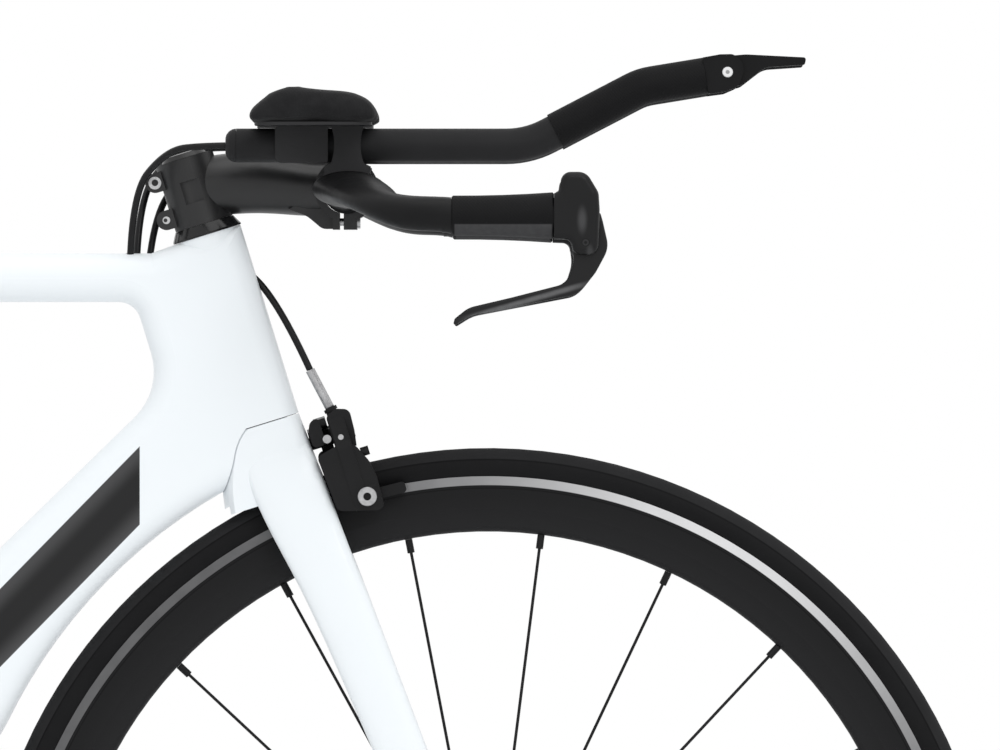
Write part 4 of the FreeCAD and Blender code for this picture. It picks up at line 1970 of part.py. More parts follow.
def front_derailleur():
    """A bracket on the seat tube, and the cage that hangs from its pivot over the big ring."""
    x, z = size("fd_pivot_x"), size("fd_pivot_height")
    y = CHAIN_Y + 2.6
    wall = -size("frame_width") / 2 - size("seat_gap")
    foot = rounded([(wall, z - 9, 2), (wall, z + 9, 2), (y - 3, z + 5, 3), (y - 3, z - 1, 1), (y + 5, z - 1, 1), (-30, z - 9, 3)])
    at = frame_of(V(x - 12, 0, 0), V(0, 1, 0), V(0, 0, 1))
    bracket = extrude("fd_bracket", foot, at, "24", False)
    notch_at = V(x - 8, y - 8, z - 12)
    notch = box("fd_notch", place(notch_at), "16", "13", "20")
    pin = cylinder("fd_pin", place(V(x - 12, y, z), ALONG_X), "2.5", "24")
    subpart(fuse("fd_body", [cut("fd_bracket_cut", bracket, [notch]), pin]), "front_derailleur_body")
    clear = pitch_radius(BIG) + size("tooth_height") + 2.6
    left, right = BB.x - 62, BB.x + 6
    edge = [(side, BB.z + math.sqrt(clear ** 2 - (side - BB.x) ** 2)) for side in (left, (left + right) / 2, right)]
    top = edge[2][1] + 12
    outer = [arc(*edge), line(edge[2], (right - 4, top)), line((right - 4, top), (left, top)), line((left, top), edge[0])]
    low = edge[2][1] - 12
    inner = rounded([(left, low - 8, 4), (right, low, 5), (right - 4, top, 3), (left, top, 3)])
    plates = [extrude("fd_outer_plate", outer, at_side(CHAIN_Y - 5.2), "1.4")]
    plates.append(extrude("fd_inner_plate", inner, at_side(CHAIN_Y + 5.2), "1.4"))
    plates.append(box("fd_roof", place(V(x - 18, CHAIN_Y - 5.8, top - 1.6)), "36", "11.6", "1.6"))
    plates.append(box("fd_tail", place(V(left, CHAIN_Y - 5.8, top - 1.6)), "8", "11.6", "1.6"))
    plates.append(box("fd_arm", place(V(x - 7.5, y - 3.4, top - 1)), "15", "6.8", str(z - top + 1)))
    plates.append(cylinder("fd_eye", place(V(x - 7.5, y, z), ALONG_X), "4.6", "15"))
    hole = cylinder("fd_eye_hole", place(V(x - 20, y, z), ALONG_X), "2.5 + sizes.pin_fit", "40")
    subpart(cut("fd_cage_cut", fuse("fd_cage_joined", plates), [hole]), "front_derailleur_cage")


def rear_derailleur():
    """Hanger, upper knuckle, two links, lower knuckle and the cage with its pulleys."""
    mount = REAR + V(-14, 0, -29)
    face = -size("rear_drop_width") / 2 - size("dropout_width") - size("seat_gap")
    hook = rounded([(mount.x - 9, mount.z - 9, 7), (mount.x + 9, mount.z - 9, 7), (mount.x + 8, mount.z + 8, 5),
                    (mount.x + 5, mount.z + 17, 4), (mount.x - 9, mount.z + 17, 4)])
    hanger = extrude("hanger_plate", hook + [circle(4.2, mount.x, mount.z)], at_side(face - 2), "4")
    screw = cylinder("hanger_screw", place(V(mount.x - 2, face + 3, mount.z + 12), SIDE), "2.5", "8.5")
    hole = cylinder("hanger_screw_hole", place(V(mount.x - 2, face + 4, mount.z + 12), SIDE), "2.5", "12")
    subpart(cut("hanger_holed", hanger, [hole]), "derailleur_hanger")
    x = size("rd_link_x")
    half = size("rd_link_width") / 2
    length, lean = size("rd_link_length"), math.radians(size("rd_link_lean"))
    shift = V(0, length * math.sin(lean), -length * math.cos(lean))
    tops = [V(x, -70, REAR.z - 55), V(x, -57.5, REAR.z - 50)]
    feet = [top + shift for top in tops]
    gap = 0.6
    upper_z = tops[1].z + 5.5
    boss = cylinder("rd_boss", place(V(mount.x, face - 4.2, mount.z), SIDE), "10", "15")
    stud = cylinder("rd_stud", place(V(mount.x, face + 1, mount.z), SIDE), "4", "16")
    neck = rounded([(mount.x - 9, mount.z + 4, 4), (mount.x + 9, mount.z + 4, 4), (x + half + 4, upper_z - 1, 3),
                    (x - half - 4, upper_z - 1, 3)])
    drop = extrude("rd_neck", neck, at_side(face - 11.7), "15")
    roof = box("rd_roof", place(V(x - half - 4, face - 19, upper_z)), str(2 * half + 8), str(-53 - face + 19), "5")
    cheeks, pins = [], []
    for top in tops:
        for end in (-half - 4, half + gap):
            low = V(x + end, top.y - 4, top.z - 4)
            cheeks.append(box("rd_cheek", place(low), str(4 - gap), "8", str(upper_z - top.z + 5)))
        pins.append(cylinder("rd_pin", place(top + V(-half - 3, 0, 0), ALONG_X), "2", str(2 * half + 6)))
    subpart(fuse("rd_upper", [boss, stud, drop, roof] + cheeks + pins), "rd_b_knuckle")
    for name, top, foot in (("rd_outer_link", tops[0], feet[0]), ("rd_inner_link", tops[1], feet[1])):
        way = (foot - top).normalize()
        across = V(1, 0, 0).cross(way)
        at = frame_of(top - V(half, 0, 0), across, way * -1)
        mid = length / 2
        side = -1 if name == "rd_outer_link" else 1
        bar = rounded([(-3.6, 3.6, 3.4), (3.6, 3.6, 3.4), (3.6, -length - 3.6, 3.4), (-3.6, -length - 3.6, 3.4)])
        link = extrude(name + "_bar", bar + [circle(2.08), circle(2.08, 0, -length)], at, "sizes.rd_link_width", False)
        subpart(link, name)
    lower = []
    for foot in feet:
        for end in (-half - 4, half + gap):
            lower.append(box("rd_lower_cheek", place(V(x + end, foot.y - 4, foot.z - 11)), str(4 - gap), "8", "15"))
        lower.append(cylinder("rd_lower_pin", place(foot + V(-half - 3, 0, 0), ALONG_X), "2", str(2 * half + 6)))
    floor_z = min(feet[0].z, feet[1].z) - 12
    width = 22
    lower.append(box("rd_floor", place(V(x - half - 4, feet[0].y - 4, floor_z)), str(2 * half + 8), "27", "5"))
    boss_y = CHAIN_Y - 8.4
    lower.append(cylinder("rd_cage_boss", place(V(GUIDE.x, boss_y, GUIDE.z), SIDE), "9", "20"))
    lower.append(box("rd_web", place(V(x + half + gap, boss_y - 18, floor_z)), str(GUIDE.x - x - half + 4), "16", "10"))
    knuckle = fuse("rd_lower_joined", lower)
    bore = cylinder("rd_cage_bore", place(V(GUIDE.x, boss_y + 1, GUIDE.z), SIDE), "4 + sizes.axle_fit", "17")
    subpart(cut("rd_lower", knuckle, [bore]), "rd_p_knuckle")
    rd_cage(boss_y)


def rd_cage(boss_y):
    """Two plates that hold the pulleys, hung on the lower knuckle."""
    way = (TENSION - GUIDE).normalize()
    reach = size("cage_length")
    up = V(-way.z, 0, way.x)
    solids = []
    for y in (CHAIN_Y - 7, CHAIN_Y + 7):
        at = frame_of(V(GUIDE.x, y, GUIDE.z), way, up)
        outline = rounded([(-10, -8, 7), (reach * 0.5, -6.5, 30), (reach + 10, -8, 7), (reach + 10, 8, 7), (reach * 0.5, 6.5, 30), (-10, 8, 7)])
        solids.append(extrude("rd_cage_plate", outline, at, "1.6"))
    for spot in (GUIDE, TENSION):
        solids.append(across_rod("rd_axle", place(V(spot.x, CHAIN_Y, spot.z)), 2.5, 14))
    post = GUIDE + way * (reach * 0.5)
    pivot = cylinder("rd_cage_pivot", place(V(GUIDE.x, CHAIN_Y - 6.5, GUIDE.z), SIDE), "4", "16")
    subpart(fuse("rd_cage_joined", solids + [pivot]), "rd_cage")
    bore = 2.5 + size("axle_fit")
    for label, spot in (("rd_guide_pulley", GUIDE), ("rd_tension_pulley", TENSION)):
        wheel = chain_wheel(label + "_teeth", spot, CHAIN_Y, PULLEY, phase_of(spot, PULLEY), bore, "sizes.cog_thick")
        hub = ring(label + "_hub", place(V(spot.x, CHAIN_Y, spot.z)), 7, bore, -5.6, 5.6)
        subpart(fuse(label + "_joined", [wheel, hub]), label)


chain()
cassette()
chainrings()
cranks()
cups()
pedals()
front_derailleur()
rear_derailleur()


# Check every object, then write one file for each piece

doc.recompute()
for item in doc.Objects:
    if "Invalid" in item.State or "Error" in item.State:
        raise RuntimeError(f"{item.Name} did not build: {item.State}")
os.makedirs("parts", exist_ok=True)
for item in SUBPARTS:
    if item.Shape.isNull() or not item.Shape.isValid():
        raise RuntimeError(f"{item.Label} is not a valid solid")
    item.Shape.exportStep(f"parts/{item.Label}.step")
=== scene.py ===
import math

import bpy
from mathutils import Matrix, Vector


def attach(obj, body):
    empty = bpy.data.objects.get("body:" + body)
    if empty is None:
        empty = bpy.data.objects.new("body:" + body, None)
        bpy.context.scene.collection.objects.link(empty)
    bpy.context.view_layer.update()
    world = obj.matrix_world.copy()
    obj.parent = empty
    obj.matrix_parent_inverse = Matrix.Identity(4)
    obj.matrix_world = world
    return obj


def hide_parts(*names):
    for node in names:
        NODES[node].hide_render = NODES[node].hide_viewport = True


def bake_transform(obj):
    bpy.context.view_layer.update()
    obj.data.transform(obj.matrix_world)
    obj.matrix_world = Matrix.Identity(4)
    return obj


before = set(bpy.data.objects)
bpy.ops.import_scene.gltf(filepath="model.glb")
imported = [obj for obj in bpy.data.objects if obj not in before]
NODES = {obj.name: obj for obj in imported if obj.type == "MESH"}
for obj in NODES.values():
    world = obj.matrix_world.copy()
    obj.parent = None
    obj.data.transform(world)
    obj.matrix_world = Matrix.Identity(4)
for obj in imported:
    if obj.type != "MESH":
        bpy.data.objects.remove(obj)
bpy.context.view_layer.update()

# Layout of the bicycle, in metres
FRONT_HUB = (0.495, 0.334)
REAR_HUB = (-0.495, 0.334)
BRAKE_TRACK = (0.3096, 0.3155)
WEAR_LINE = 0.3076
# Rim body painted darker outward as shade: where it turns and over how far
RIM_PAINTED_SHADE = (0.292, 0.016)
TREAD_EDGE = 0.3264
# Where the brake track's painted highlight peaks round the wheel
TRACK_HIGHLIGHT_TURN = math.radians(90 - 2 * 60)
GRIP_PANEL = (0.4734, 0.5366, 0.8047, 0.8138)
CABLE_WIDTH = 0.0046

# Brakes: places ahead of and up the steering axis, and the radii and sides of their bolts
LEAN = math.radians(17.2)
STEER_FOOT = (0.457315, 0.334)
FRONT_AHEAD = (math.cos(LEAN), math.sin(LEAN))
FRONT_UP = (-math.sin(LEAN), math.cos(LEAN))
STEER_START = FRONT_UP[0] * STEER_FOOT[0] + FRONT_UP[1] * STEER_FOOT[1]
PAD_BOLT = (0.0497, 0.301)
PAD_BOLT_HEAD = 0.0062
PAD_SOCKET_SHADE = 0.0026
ANCHOR_BOLT = (0.0355, 0.3448)
ANCHOR_HEAD = 0.003
ANCHOR_SIDE = -0.0212
TOWER_SCREW = (0.0446, 0.3434)
TOWER_HEAD = 0.0018
TOWER_SIDE = -0.0235
ADJUSTER = (0.0440, 0.360, -0.015)
ADJUSTER_WAY = (-0.18065, 0.98355)
ADJUSTER_REACH = 0.0035
ADJUSTER_FOOT = 0.0046
ADJUSTER_THREAD = 7850
STEERER_CAP = 0.546
REAR_BRAKE_TURN = math.radians(17)

# Levers and stem: screws with sockets and slots painted dark as shade, and painted highlights on the lever
# body and along the blade, by X and Z, radius or reach
SHIFT_PIVOT = (0.65196, 0.91438)
SHIFT_SCREW = 0.0034
SHIFT_SOCKET_SHADE = 0.0013
LEVER_PIVOT = (0.5584, 0.8019)
PIVOT_SLOT = 0.001
PIVOT_HEAD = 0.0021
PIVOT_EDGE = 0.0027
HIGHLIGHT_PLACES = (((0.5562, 0.8165), 0.0036, 0.010, 1.0), ((0.5612, 0.7955), 0.0028, 0.006, 0.7))
LEVER_BLADE = (0.4780, 0.7509)
BLADE_SLOPE = math.radians(15.9)
HIGHLIGHT_HEIGHT = (-0.0004, 0.0026)
HIGHLIGHT_LENGTH = (0.006, 0.078)
STEM_SOCKET_SHADES = ((0.2760, 0.8424, 0.0022), (0.2829, 0.8177, 0.0013))

# Stripe on the down tube: upper front corner, slope, width and rear end
STRIPE_CORNER = (0.2662, 0.6692)
STRIPE_SLOPE = math.radians(45.6)
STRIPE_WIDTH = 0.036
STRIPE_REAR = -0.005

# Photograph: X and Z seen at its middle, and the width that it spans
SEEN_MIDDLE = (0.5029, 0.7160)
SEEN_WIDTH = 0.65806
LENS = 800.0
SENSOR = 36.0
CLIP_SHARE = 4

# Studio: light from all round, the floor's side, where it fades, and the rays that see the background
FILL_LIGHT = 0.8
FLOOR_SIZE = 36
FLOOR_FADE = (9, 7)
BACKGROUND_RAYS = ("Camera", "Glossy", "Transmission")

# Half the width of a crisp edge between two colours
CRISP = 0.0002


class Value:
    """A node's socket that takes part in sums."""

    def __init__(self, shading, socket):
        self.shading = shading
        self.socket = socket

    def combine(self, kind, *others):
        inputs = dict(enumerate((self, *others)))
        return self.shading.value("ShaderNodeMath", {"operation": kind}, inputs)

    def __add__(self, other):
        return self.combine("ADD", other)

    def __mul__(self, other):
        return self.combine("MULTIPLY", other)

    def __sub__(self, other):
        return self.combine("SUBTRACT", other)

    def __rsub__(self, other):
        return self.shading.value("ShaderNodeMath", {"operation": "SUBTRACT"}, {0: other, 1: self})

    def __truediv__(self, other):
        return self.combine("DIVIDE", other)

    __radd__ = __add__
    __rmul__ = __mul__

    def sine(self):
        return self.combine("SINE")

    def root(self):
        return self.combine("SQRT")

    def size(self):
        return self.combine("ABSOLUTE")

    def most(self, other):
        return self.combine("MAXIMUM", other)

    def angle(self, across):
        """Angle of a height over a distance across."""
        return self.combine("ARCTAN2", across)

    def above(self, edge, soft=CRISP):
        """Runs from 0 to 1 across an edge."""
        return self.shading.value("ShaderNodeMapRange", {"interpolation_type": "SMOOTHSTEP", "clamp": True},
                                  {"Value": self, "From Min": edge - soft, "From Max": edge + soft})

    def below(self, edge, soft=CRISP):
        return 1 - self.above(edge, soft)

    def within(self, low, high, soft=CRISP):
        return self.above(low, soft) * self.below(high, soft)


class Shading:
    """The nodes of a material or of the surroundings."""

    def __init__(self, owner):
        owner.use_nodes = True
        self.tree = owner.node_tree

    def node(self, kind, settings=None, inputs=None):
        """A node with its settings, and the values or links of its sockets."""
        made = self.tree.nodes.new(kind)
        for key, value in (settings or {}).items():
            setattr(made, key, value)
        for key, value in (inputs or {}).items():
            if isinstance(value, Value):
                value = value.socket
            if isinstance(value, bpy.types.NodeSocket):
                self.tree.links.new(value, made.inputs[key])
            else:
                made.inputs[key].default_value = value
        return made

    def value(self, kind, settings=None, inputs=None, output=0):
        return Value(self, self.node(kind, settings, inputs).outputs[output])

    def white_background(self):
        """1 for rays that show the background itself: to the camera, mirrored, or let through."""
        rays = self.node("ShaderNodeLightPath").outputs
        camera, mirrored, through = (Value(self, rays[f"Is {kind} Ray"]) for kind in BACKGROUND_RAYS)
        return camera.most(mirrored).most(through)


class Finish(Shading):
    """A material that is built up from its shader's plain values and then varied."""

    def __init__(self, name, colour, rough, metal=0.0, **fixed):
        self.material = bpy.data.materials.new(name)
        super().__init__(self.material)
        self.shader = self.tree.nodes["Principled BSDF"]
        self.shader.inputs["Base Color"].default_value = (*colour, 1)
        self.shader.inputs["Roughness"].default_value = rough
        self.shader.inputs["Metallic"].default_value = metal
        for socket, value in fixed.items():
            self.shader.inputs[socket.replace("_", " ")].default_value = value
        self.place = self.node("ShaderNodeTexCoord").outputs["Object"]
        parts = self.node("ShaderNodeSeparateXYZ", {}, {"Vector": self.place})
        self.x, self.y, self.z = (Value(self, parts.outputs[axis]) for axis in "XYZ")

    def noise(self, scale, detail=2.0, stretch=(1, 1, 1)):
        """Even noise about 0.5; scale is in spots a metre."""
        spread = self.node("ShaderNodeVectorMath", {"operation": "MULTIPLY"}, {0: self.place, 1: stretch})
        inputs = {"Vector": spread.outputs[0], "Scale": scale, "Detail": detail}
        return self.value("ShaderNodeTexNoise", {}, inputs)

    def mix(self, share, first, second):
        """A colour between two colours."""
        made = self.node("ShaderNodeMix", {"data_type": "RGBA"}, {0: share})
        for socket, colour in ((6, first), (7, second)):
            if isinstance(colour, bpy.types.NodeSocket):
                self.tree.links.new(colour, made.inputs[socket])
            else:
                made.inputs[socket].default_value = (*colour, 1)
        return made.outputs[2]

    def put(self, **sockets):
        for socket, value in sockets.items():
            if isinstance(value, Value):
                value = value.socket
            self.tree.links.new(value, self.shader.inputs[socket.replace("_", " ")])
        return self

    def bump(self, height, depth, strength=1.0):
        """Raises the surface; depth is in metres."""
        made = self.node("ShaderNodeBump", {}, {"Height": height, "Distance": depth, "Strength": strength})
        self.tree.links.new(made.outputs["Normal"], self.shader.inputs["Normal"])
        return self

    def from_point(self, spot):
        """Distance from a line across the bicycle, such as an axle, seen from its side."""
        across, up = self.x - spot[0], self.z - spot[1]
        return (across * across + up * up).root()

    def round_axle(self, hub):
        """Angle round a wheel's axle."""
        return (self.z - hub[1]).angle(self.x - hub[0])


def tone(*levels):
    """A colour from 0 to 255 levels, as the shader counts it."""
    return tuple(((v / 255 + 0.055) / 1.055) ** 2.4 if v > 10 else v / 255 / 12.92 for v in levels)


def grey(level):
    return tone(level, level, level + 1)


# Finishes
def white_paint(name):
    """Gloss white paint over a smooth moulding, with a trace of orange peel."""
    paint = Finish(name, tone(242, 247, 250), 0.3, Specular_IOR_Level=0.15,
                   Coat_Weight=0.25, Coat_Roughness=0.06)
    paint.white = paint.mix(paint.noise(9), tone(241, 246, 249), tone(243, 248, 251))
    paint.put(Base_Color=paint.white)
    paint.put(Roughness=paint.noise(60) * 0.08 + 0.26)
    return paint.bump(paint.noise(420), 0.00002, 0.4)


def striped_paint():
    """White paint with one plain dark stripe along the down tube, greyed towards its upper and lower edges by
    painted highlights.
    """
    paint = white_paint("frame_white")
    ahead, up = paint.x - STRIPE_CORNER[0], paint.z - STRIPE_CORNER[1]
    down = ahead * math.sin(STRIPE_SLOPE) - up * math.cos(STRIPE_SLOPE)
    stripe = down.within(0, STRIPE_WIDTH, 0.0003) * paint.x.within(STRIPE_REAR, STRIPE_CORNER[0], 0.0003)
    # Painted highlights: the stripe greys towards its lower edge and, less, its upper edge, where the rounded
    # tube would catch the light.
    low = paint.mix(down.above(STRIPE_WIDTH * 0.85, 0.008), grey(24), grey(74))
    fade = paint.mix(down.below(STRIPE_WIDTH * 0.2, 0.006), low, grey(66))
    paint.put(Base_Color=paint.mix(stripe, paint.white, fade))
    return paint


def black_metal(name, level, rough, gloss=0.15, grain=900, depth=0.00003, spread=4):
    """Anodised or painted black metal with a fine grain."""
    metal = Finish(name, grey(level), rough, Specular_IOR_Level=gloss)
    cloud = metal.noise(30, 3)
    metal.put(Base_Color=metal.mix(cloud, grey(level - spread), grey(level + spread)))
    metal.put(Roughness=metal.noise(140, 3) * 0.16 + (rough - 0.08))
    return metal.bump(metal.noise(grain), depth, 0.5).material


def gloss_black(name, level):
    """Polished black with faint haze."""
    shine = Finish(name, grey(level), 0.16, Specular_IOR_Level=0.35)
    shine.put(Base_Color=shine.mix(shine.noise(25), grey(level - 4), grey(level + 4)))
    shine.put(Roughness=shine.noise(90) * 0.1 + 0.12)
    return shine.material


def moulded_black(name, level, rough=0.55, pebble=1500, gloss=0.12):
    """Moulded plastic or rubber with a pebbled skin."""
    skin = Finish(name, grey(level), rough, Specular_IOR_Level=gloss)
    skin.put(Base_Color=skin.mix(skin.noise(45, 3), grey(level - 4), grey(level + 4)))
    grain = skin.value("ShaderNodeTexVoronoi", {}, {"Vector": skin.place, "Scale": pebble})
    skin.put(Roughness=skin.noise(300) * 0.2 + (rough - 0.1))
    return skin.bump(grain, 0.00006, 0.4).material


def bright_steel(name, level, rough=0.3):
    """Bare steel with fine scratches and darker hollows."""
    steel = Finish(name, grey(level), rough, 1.0)
    steel.put(Base_Color=steel.mix(steel.noise(160, 4), grey(level - 40), grey(level + 20)))
    steel.put(Roughness=steel.noise(500, 2, (1, 6, 1)) * 0.3 + (rough - 0.12))
    return steel.bump(steel.noise(1200, 2, (1, 8, 1)), 0.00002, 0.4).material


def cockpit_steel():
    """Steel bolts, their sockets painted near black as shade, and the black cap on top of the steerer."""
    steel = Finish("cockpit_steel", grey(190), 0.3, 1.0)
    up = steel.x * FRONT_UP[0] + steel.z * FRONT_UP[1] - STEER_START
    cap = up.above(STEERER_CAP, 0.0004)
    bare = steel.mix(steel.noise(160, 4), grey(150), grey(214))
    # Painted shade: the stem bolts' sockets are coloured near black, like the cap.
    sockets = 0
    for x, z, radius in STEM_SOCKET_SHADES:
        sockets = steel.from_point((x, z)).below(radius) + sockets
    black = sockets + cap
    steel.put(Base_Color=steel.mix(black, bare, grey(24)))
    steel.put(Metallic=1 - black)
    steel.put(Roughness=steel.noise(500, 2, (1, 6, 1)) * 0.25 + 0.2)
    return steel.bump(steel.noise(1200, 2, (1, 8, 1)), 0.00002, 0.4).material


def rim_finish(name, hub):
    """Satin black rim with a machined brake track, which brightens and darkens round the wheel as a painted
    highlight, a body painted darker outward as shade, and a wear groove painted near black as shade.
    """
    rim = Finish(name, grey(34), 0.4, Specular_IOR_Level=0.12)
    reach = rim.from_point(hub)
    track = reach.within(*BRAKE_TRACK, 0.00025)
    groove = reach.within(WEAR_LINE - 0.0004, WEAR_LINE + 0.0004)
    rings = (reach * 9000).sine()
    streak = rim.noise(60, 3)
    # Painted highlight: the brake track brightens and darkens twice round the wheel, as light glinting on it
    # would.
    track_highlight = (rim.round_axle(hub) * 2 + TRACK_HIGHLIGHT_TURN).sine() * 0.5 + 0.5
    # Painted shade: the rim body darkens outward.
    body = rim.mix(reach.above(*RIM_PAINTED_SHADE), grey(34), grey(25))
    glint = track_highlight * track_highlight * track_highlight * track_highlight
    bare = rim.mix(glint * 0.9 + streak * 0.1, grey(88), grey(222))
    # Painted shade: the wear groove is coloured near black.
    dark = rim.mix(groove, body, grey(12))
    rim.put(Base_Color=rim.mix(track, dark, bare))
    rim.put(Metallic=track)
    rim.put(Roughness=0.46 - track * 0.12 + streak * 0.06)
    return rim.bump(rings * track + groove * -6, 0.00001, 0.6).material


def tyre_finish(name, hub):
    """Black tyre: a smooth round tread with fine file marks, and a woven sidewall."""
    tyre = Finish(name, grey(36), 0.7, Specular_IOR_Level=0.08)
    reach = tyre.from_point(hub)
    tread = reach.above(TREAD_EDGE, 0.0004)
    line = reach.within(TREAD_EDGE - 0.0005, TREAD_EDGE + 0.0005, 0.0003)
    weave = ((tyre.x + tyre.z) * 4200).sine() * ((tyre.x - tyre.z) * 4200).sine()
    file_marks = ((reach + tyre.y.size() * 0.7) * 5200).sine() * tread
    wall = tyre.mix(tyre.noise(40, 3), grey(20), grey(27))
    cap = tyre.mix(tyre.noise(55, 4), grey(34), grey(43))
    both = tyre.mix(tread, wall, cap)
    tyre.put(Base_Color=tyre.mix(line, both, grey(16)))
    tyre.put(Roughness=tread * 0.15 + 0.6)
    return tyre.bump(weave * (1 - tread) + file_marks, 0.00004, 0.5).material


def grip_finish():
    """Ribbed black rubber with a grey panel along its lower side."""
    grip = Finish("grip_rubber", grey(24), 0.6, Specular_IOR_Level=0.1)
    low_x, high_x, low_z, high_z = GRIP_PANEL
    panel = grip.x.within(low_x, high_x, 0.0006) * grip.z.within(low_z, high_z, 0.0005)
    dots = (grip.x * 2800).sine() * (grip.z * 2800).sine()
    plain = grip.mix(grip.noise(70, 3), grey(15), grey(21))
    soft = grip.mix(grip.noise(240, 3), grey(58), grey(72))
    grip.put(Base_Color=grip.mix(panel, plain, soft))
    grip.put(Roughness=0.58 + panel * 0.12)
    return grip.bump(dots * (1 - panel) * 0.6 + panel, 0.00015, 0.5).material


def cloth_finish(name, level, scale=2600):
    """Knitted cover stretched over foam."""
    cloth = Finish(name, grey(level), 0.85, Specular_IOR_Level=0.1)
    cloth.shader.inputs["Sheen Weight"].default_value = 0.06
    knit = (cloth.x * scale).sine() * (cloth.y * scale).sine()
    cloth.put(Base_Color=cloth.mix(cloth.noise(120, 4), grey(level - 7), grey(level + 7)))
    cloth.put(Roughness=cloth.noise(400) * 0.15 + 0.75)
    return cloth.bump(knit + cloth.noise(900) * 2, 0.0001, 0.6).material


def lever_finish():
    """Satin black lever with a painted highlight along its blade."""
    lever = Finish("lever_black", grey(18), 0.32, Specular_IOR_Level=0.25)
    along, rise = lever.x - LEVER_BLADE[0], lever.z - LEVER_BLADE[1]
    above = rise * math.cos(BLADE_SLOPE) - along * math.sin(BLADE_SLOPE)
    # Painted highlight: a pale streak along the blade where light would catch it.
    streak = above.within(*HIGHLIGHT_HEIGHT, 0.0012) * along.within(*HIGHLIGHT_LENGTH, 0.012)
    black = lever.mix(lever.noise(30, 3), grey(14), grey(22))
    lever.put(Base_Color=lever.mix(streak * (lever.noise(180, 3) * 0.5 + 0.5), black, grey(104)))
    lever.put(Roughness=lever.noise(140, 3) * 0.16 + 0.24)
    return lever.bump(lever.noise(900), 0.00003, 0.5).material


def hood_finish():
    """Smooth black lever body with two painted highlights, and the head of the lever's pivot screw, with the
    gap round it and its slot painted near black as shade.
    """
    hood = Finish("hood_black", grey(18), 0.42, Specular_IOR_Level=0.2)

    def highlight_patch(spot, width, height):
        across, rise = (hood.x - spot[0]) / width, (hood.z - spot[1]) / height
        return (across * across + rise * rise).root().below(0.7, 0.5)

    # Painted highlights: two soft pale places where light would catch the body.
    painted_highlights = sum(highlight_patch(spot, width, height) * share for spot, width, height, share in HIGHLIGHT_PLACES)
    screw = hood.from_point(LEVER_PIVOT)
    # Painted shade: the gap round the screw head and its slot are coloured near black.
    rim = screw.within(PIVOT_HEAD, PIVOT_EDGE)
    shaded_slot = screw.below(PIVOT_SLOT)
    black = hood.mix(hood.noise(45, 3), grey(15), grey(22))
    with_highlights = hood.mix(painted_highlights, black, grey(62))
    head = hood.mix(screw.below(PIVOT_HEAD), with_highlights, grey(40))
    hood.put(Base_Color=hood.mix(rim + shaded_slot, head, grey(8)))
    hood.put(Roughness=hood.noise(300) * 0.15 + 0.34)
    return hood.bump(hood.noise(700) * 0.3 - rim, 0.0001, 0.5).material


def hose_finish():
    """Smooth black cable hose."""
    hose = Finish("cable_hose", grey(22), 0.35, Specular_IOR_Level=0.2)
    hose.put(Base_Color=hose.mix(hose.noise(200, 3), grey(18), grey(26)))
    hose.put(Roughness=hose.noise(350) * 0.15 + 0.28)
    return hose.material


def brake_finish(name, ahead, up, hand):
    """Satin black brake arm with steel bolts, a socket painted dark as shade, and a threaded steel adjuster.
    """
    arm = Finish(name, grey(28), 0.36, Specular_IOR_Level=0.15)

    def along(row):
        return arm.x * row[0] + arm.z * row[1] + row[2]

    a, s, side = along(ahead), along(up), arm.y * hand

    def from_bolt(spot):
        off_a, off_s = a - spot[0], s - spot[1]
        return (off_a * off_a + off_s * off_s).root()

    stop_a, stop_s, stop_y = a - ADJUSTER[0], s - ADJUSTER[1], side - ADJUSTER[2]
    rise = stop_a * ADJUSTER_WAY[0] + stop_s * ADJUSTER_WAY[1]
    off_a, off_s = stop_a - rise * ADJUSTER_WAY[0], stop_s - rise * ADJUSTER_WAY[1]
    from_screw = (off_a * off_a + off_s * off_s + stop_y * stop_y).root()
    pad_bolt = from_bolt(PAD_BOLT).below(PAD_BOLT_HEAD)
    # Painted shade: the pad bolt's socket is coloured dark.
    socket = from_bolt(PAD_BOLT).below(PAD_SOCKET_SHADE, 0.0003)
    anchor = from_bolt(ANCHOR_BOLT).below(ANCHOR_HEAD) * side.below(ANCHOR_SIDE)
    small = from_bolt(TOWER_SCREW).below(TOWER_HEAD) * side.below(TOWER_SIDE)
    screw = from_screw.below(ADJUSTER_REACH) * rise.above(ADJUSTER_FOOT, 0.0003)
    bare = pad_bolt + screw + anchor + small
    black = arm.mix(arm.noise(30, 3), grey(21), grey(31))
    steel = arm.mix(arm.noise(300, 3), grey(150), grey(205))
    shaded_socket_steel = arm.mix(socket, steel, grey(26))
    arm.put(Base_Color=arm.mix(bare, black, shaded_socket_steel))
    arm.put(Metallic=bare - socket)
    arm.put(Roughness=arm.noise(140, 3) * 0.14 + 0.3)
    return arm.bump((rise * ADJUSTER_THREAD).sine() * screw + arm.noise(900) * 0.3, 0.0002, 0.5).material


def pivot_finish(name, level):
    """Black alloy with a bright pivot screw, its socket painted darker as shade."""
    part = Finish(name, grey(level), 0.38, Specular_IOR_Level=0.12)
    reach = part.from_point(SHIFT_PIVOT)
    screw = reach.below(SHIFT_SCREW)
    # Painted shade: the pivot screw's socket is coloured darker.
    socket = reach.below(SHIFT_SOCKET_SHADE)
    black = part.mix(part.noise(40, 3), grey(level - 6), grey(level + 6))
    steel = part.mix(socket, grey(224), grey(150))
    part.put(Base_Color=part.mix(screw, black, steel))
    part.put(Metallic=screw)
    part.put(Roughness=part.noise(140, 3) * 0.14 + 0.32)
    return part.bump(part.noise(900), 0.00003, 0.5).material


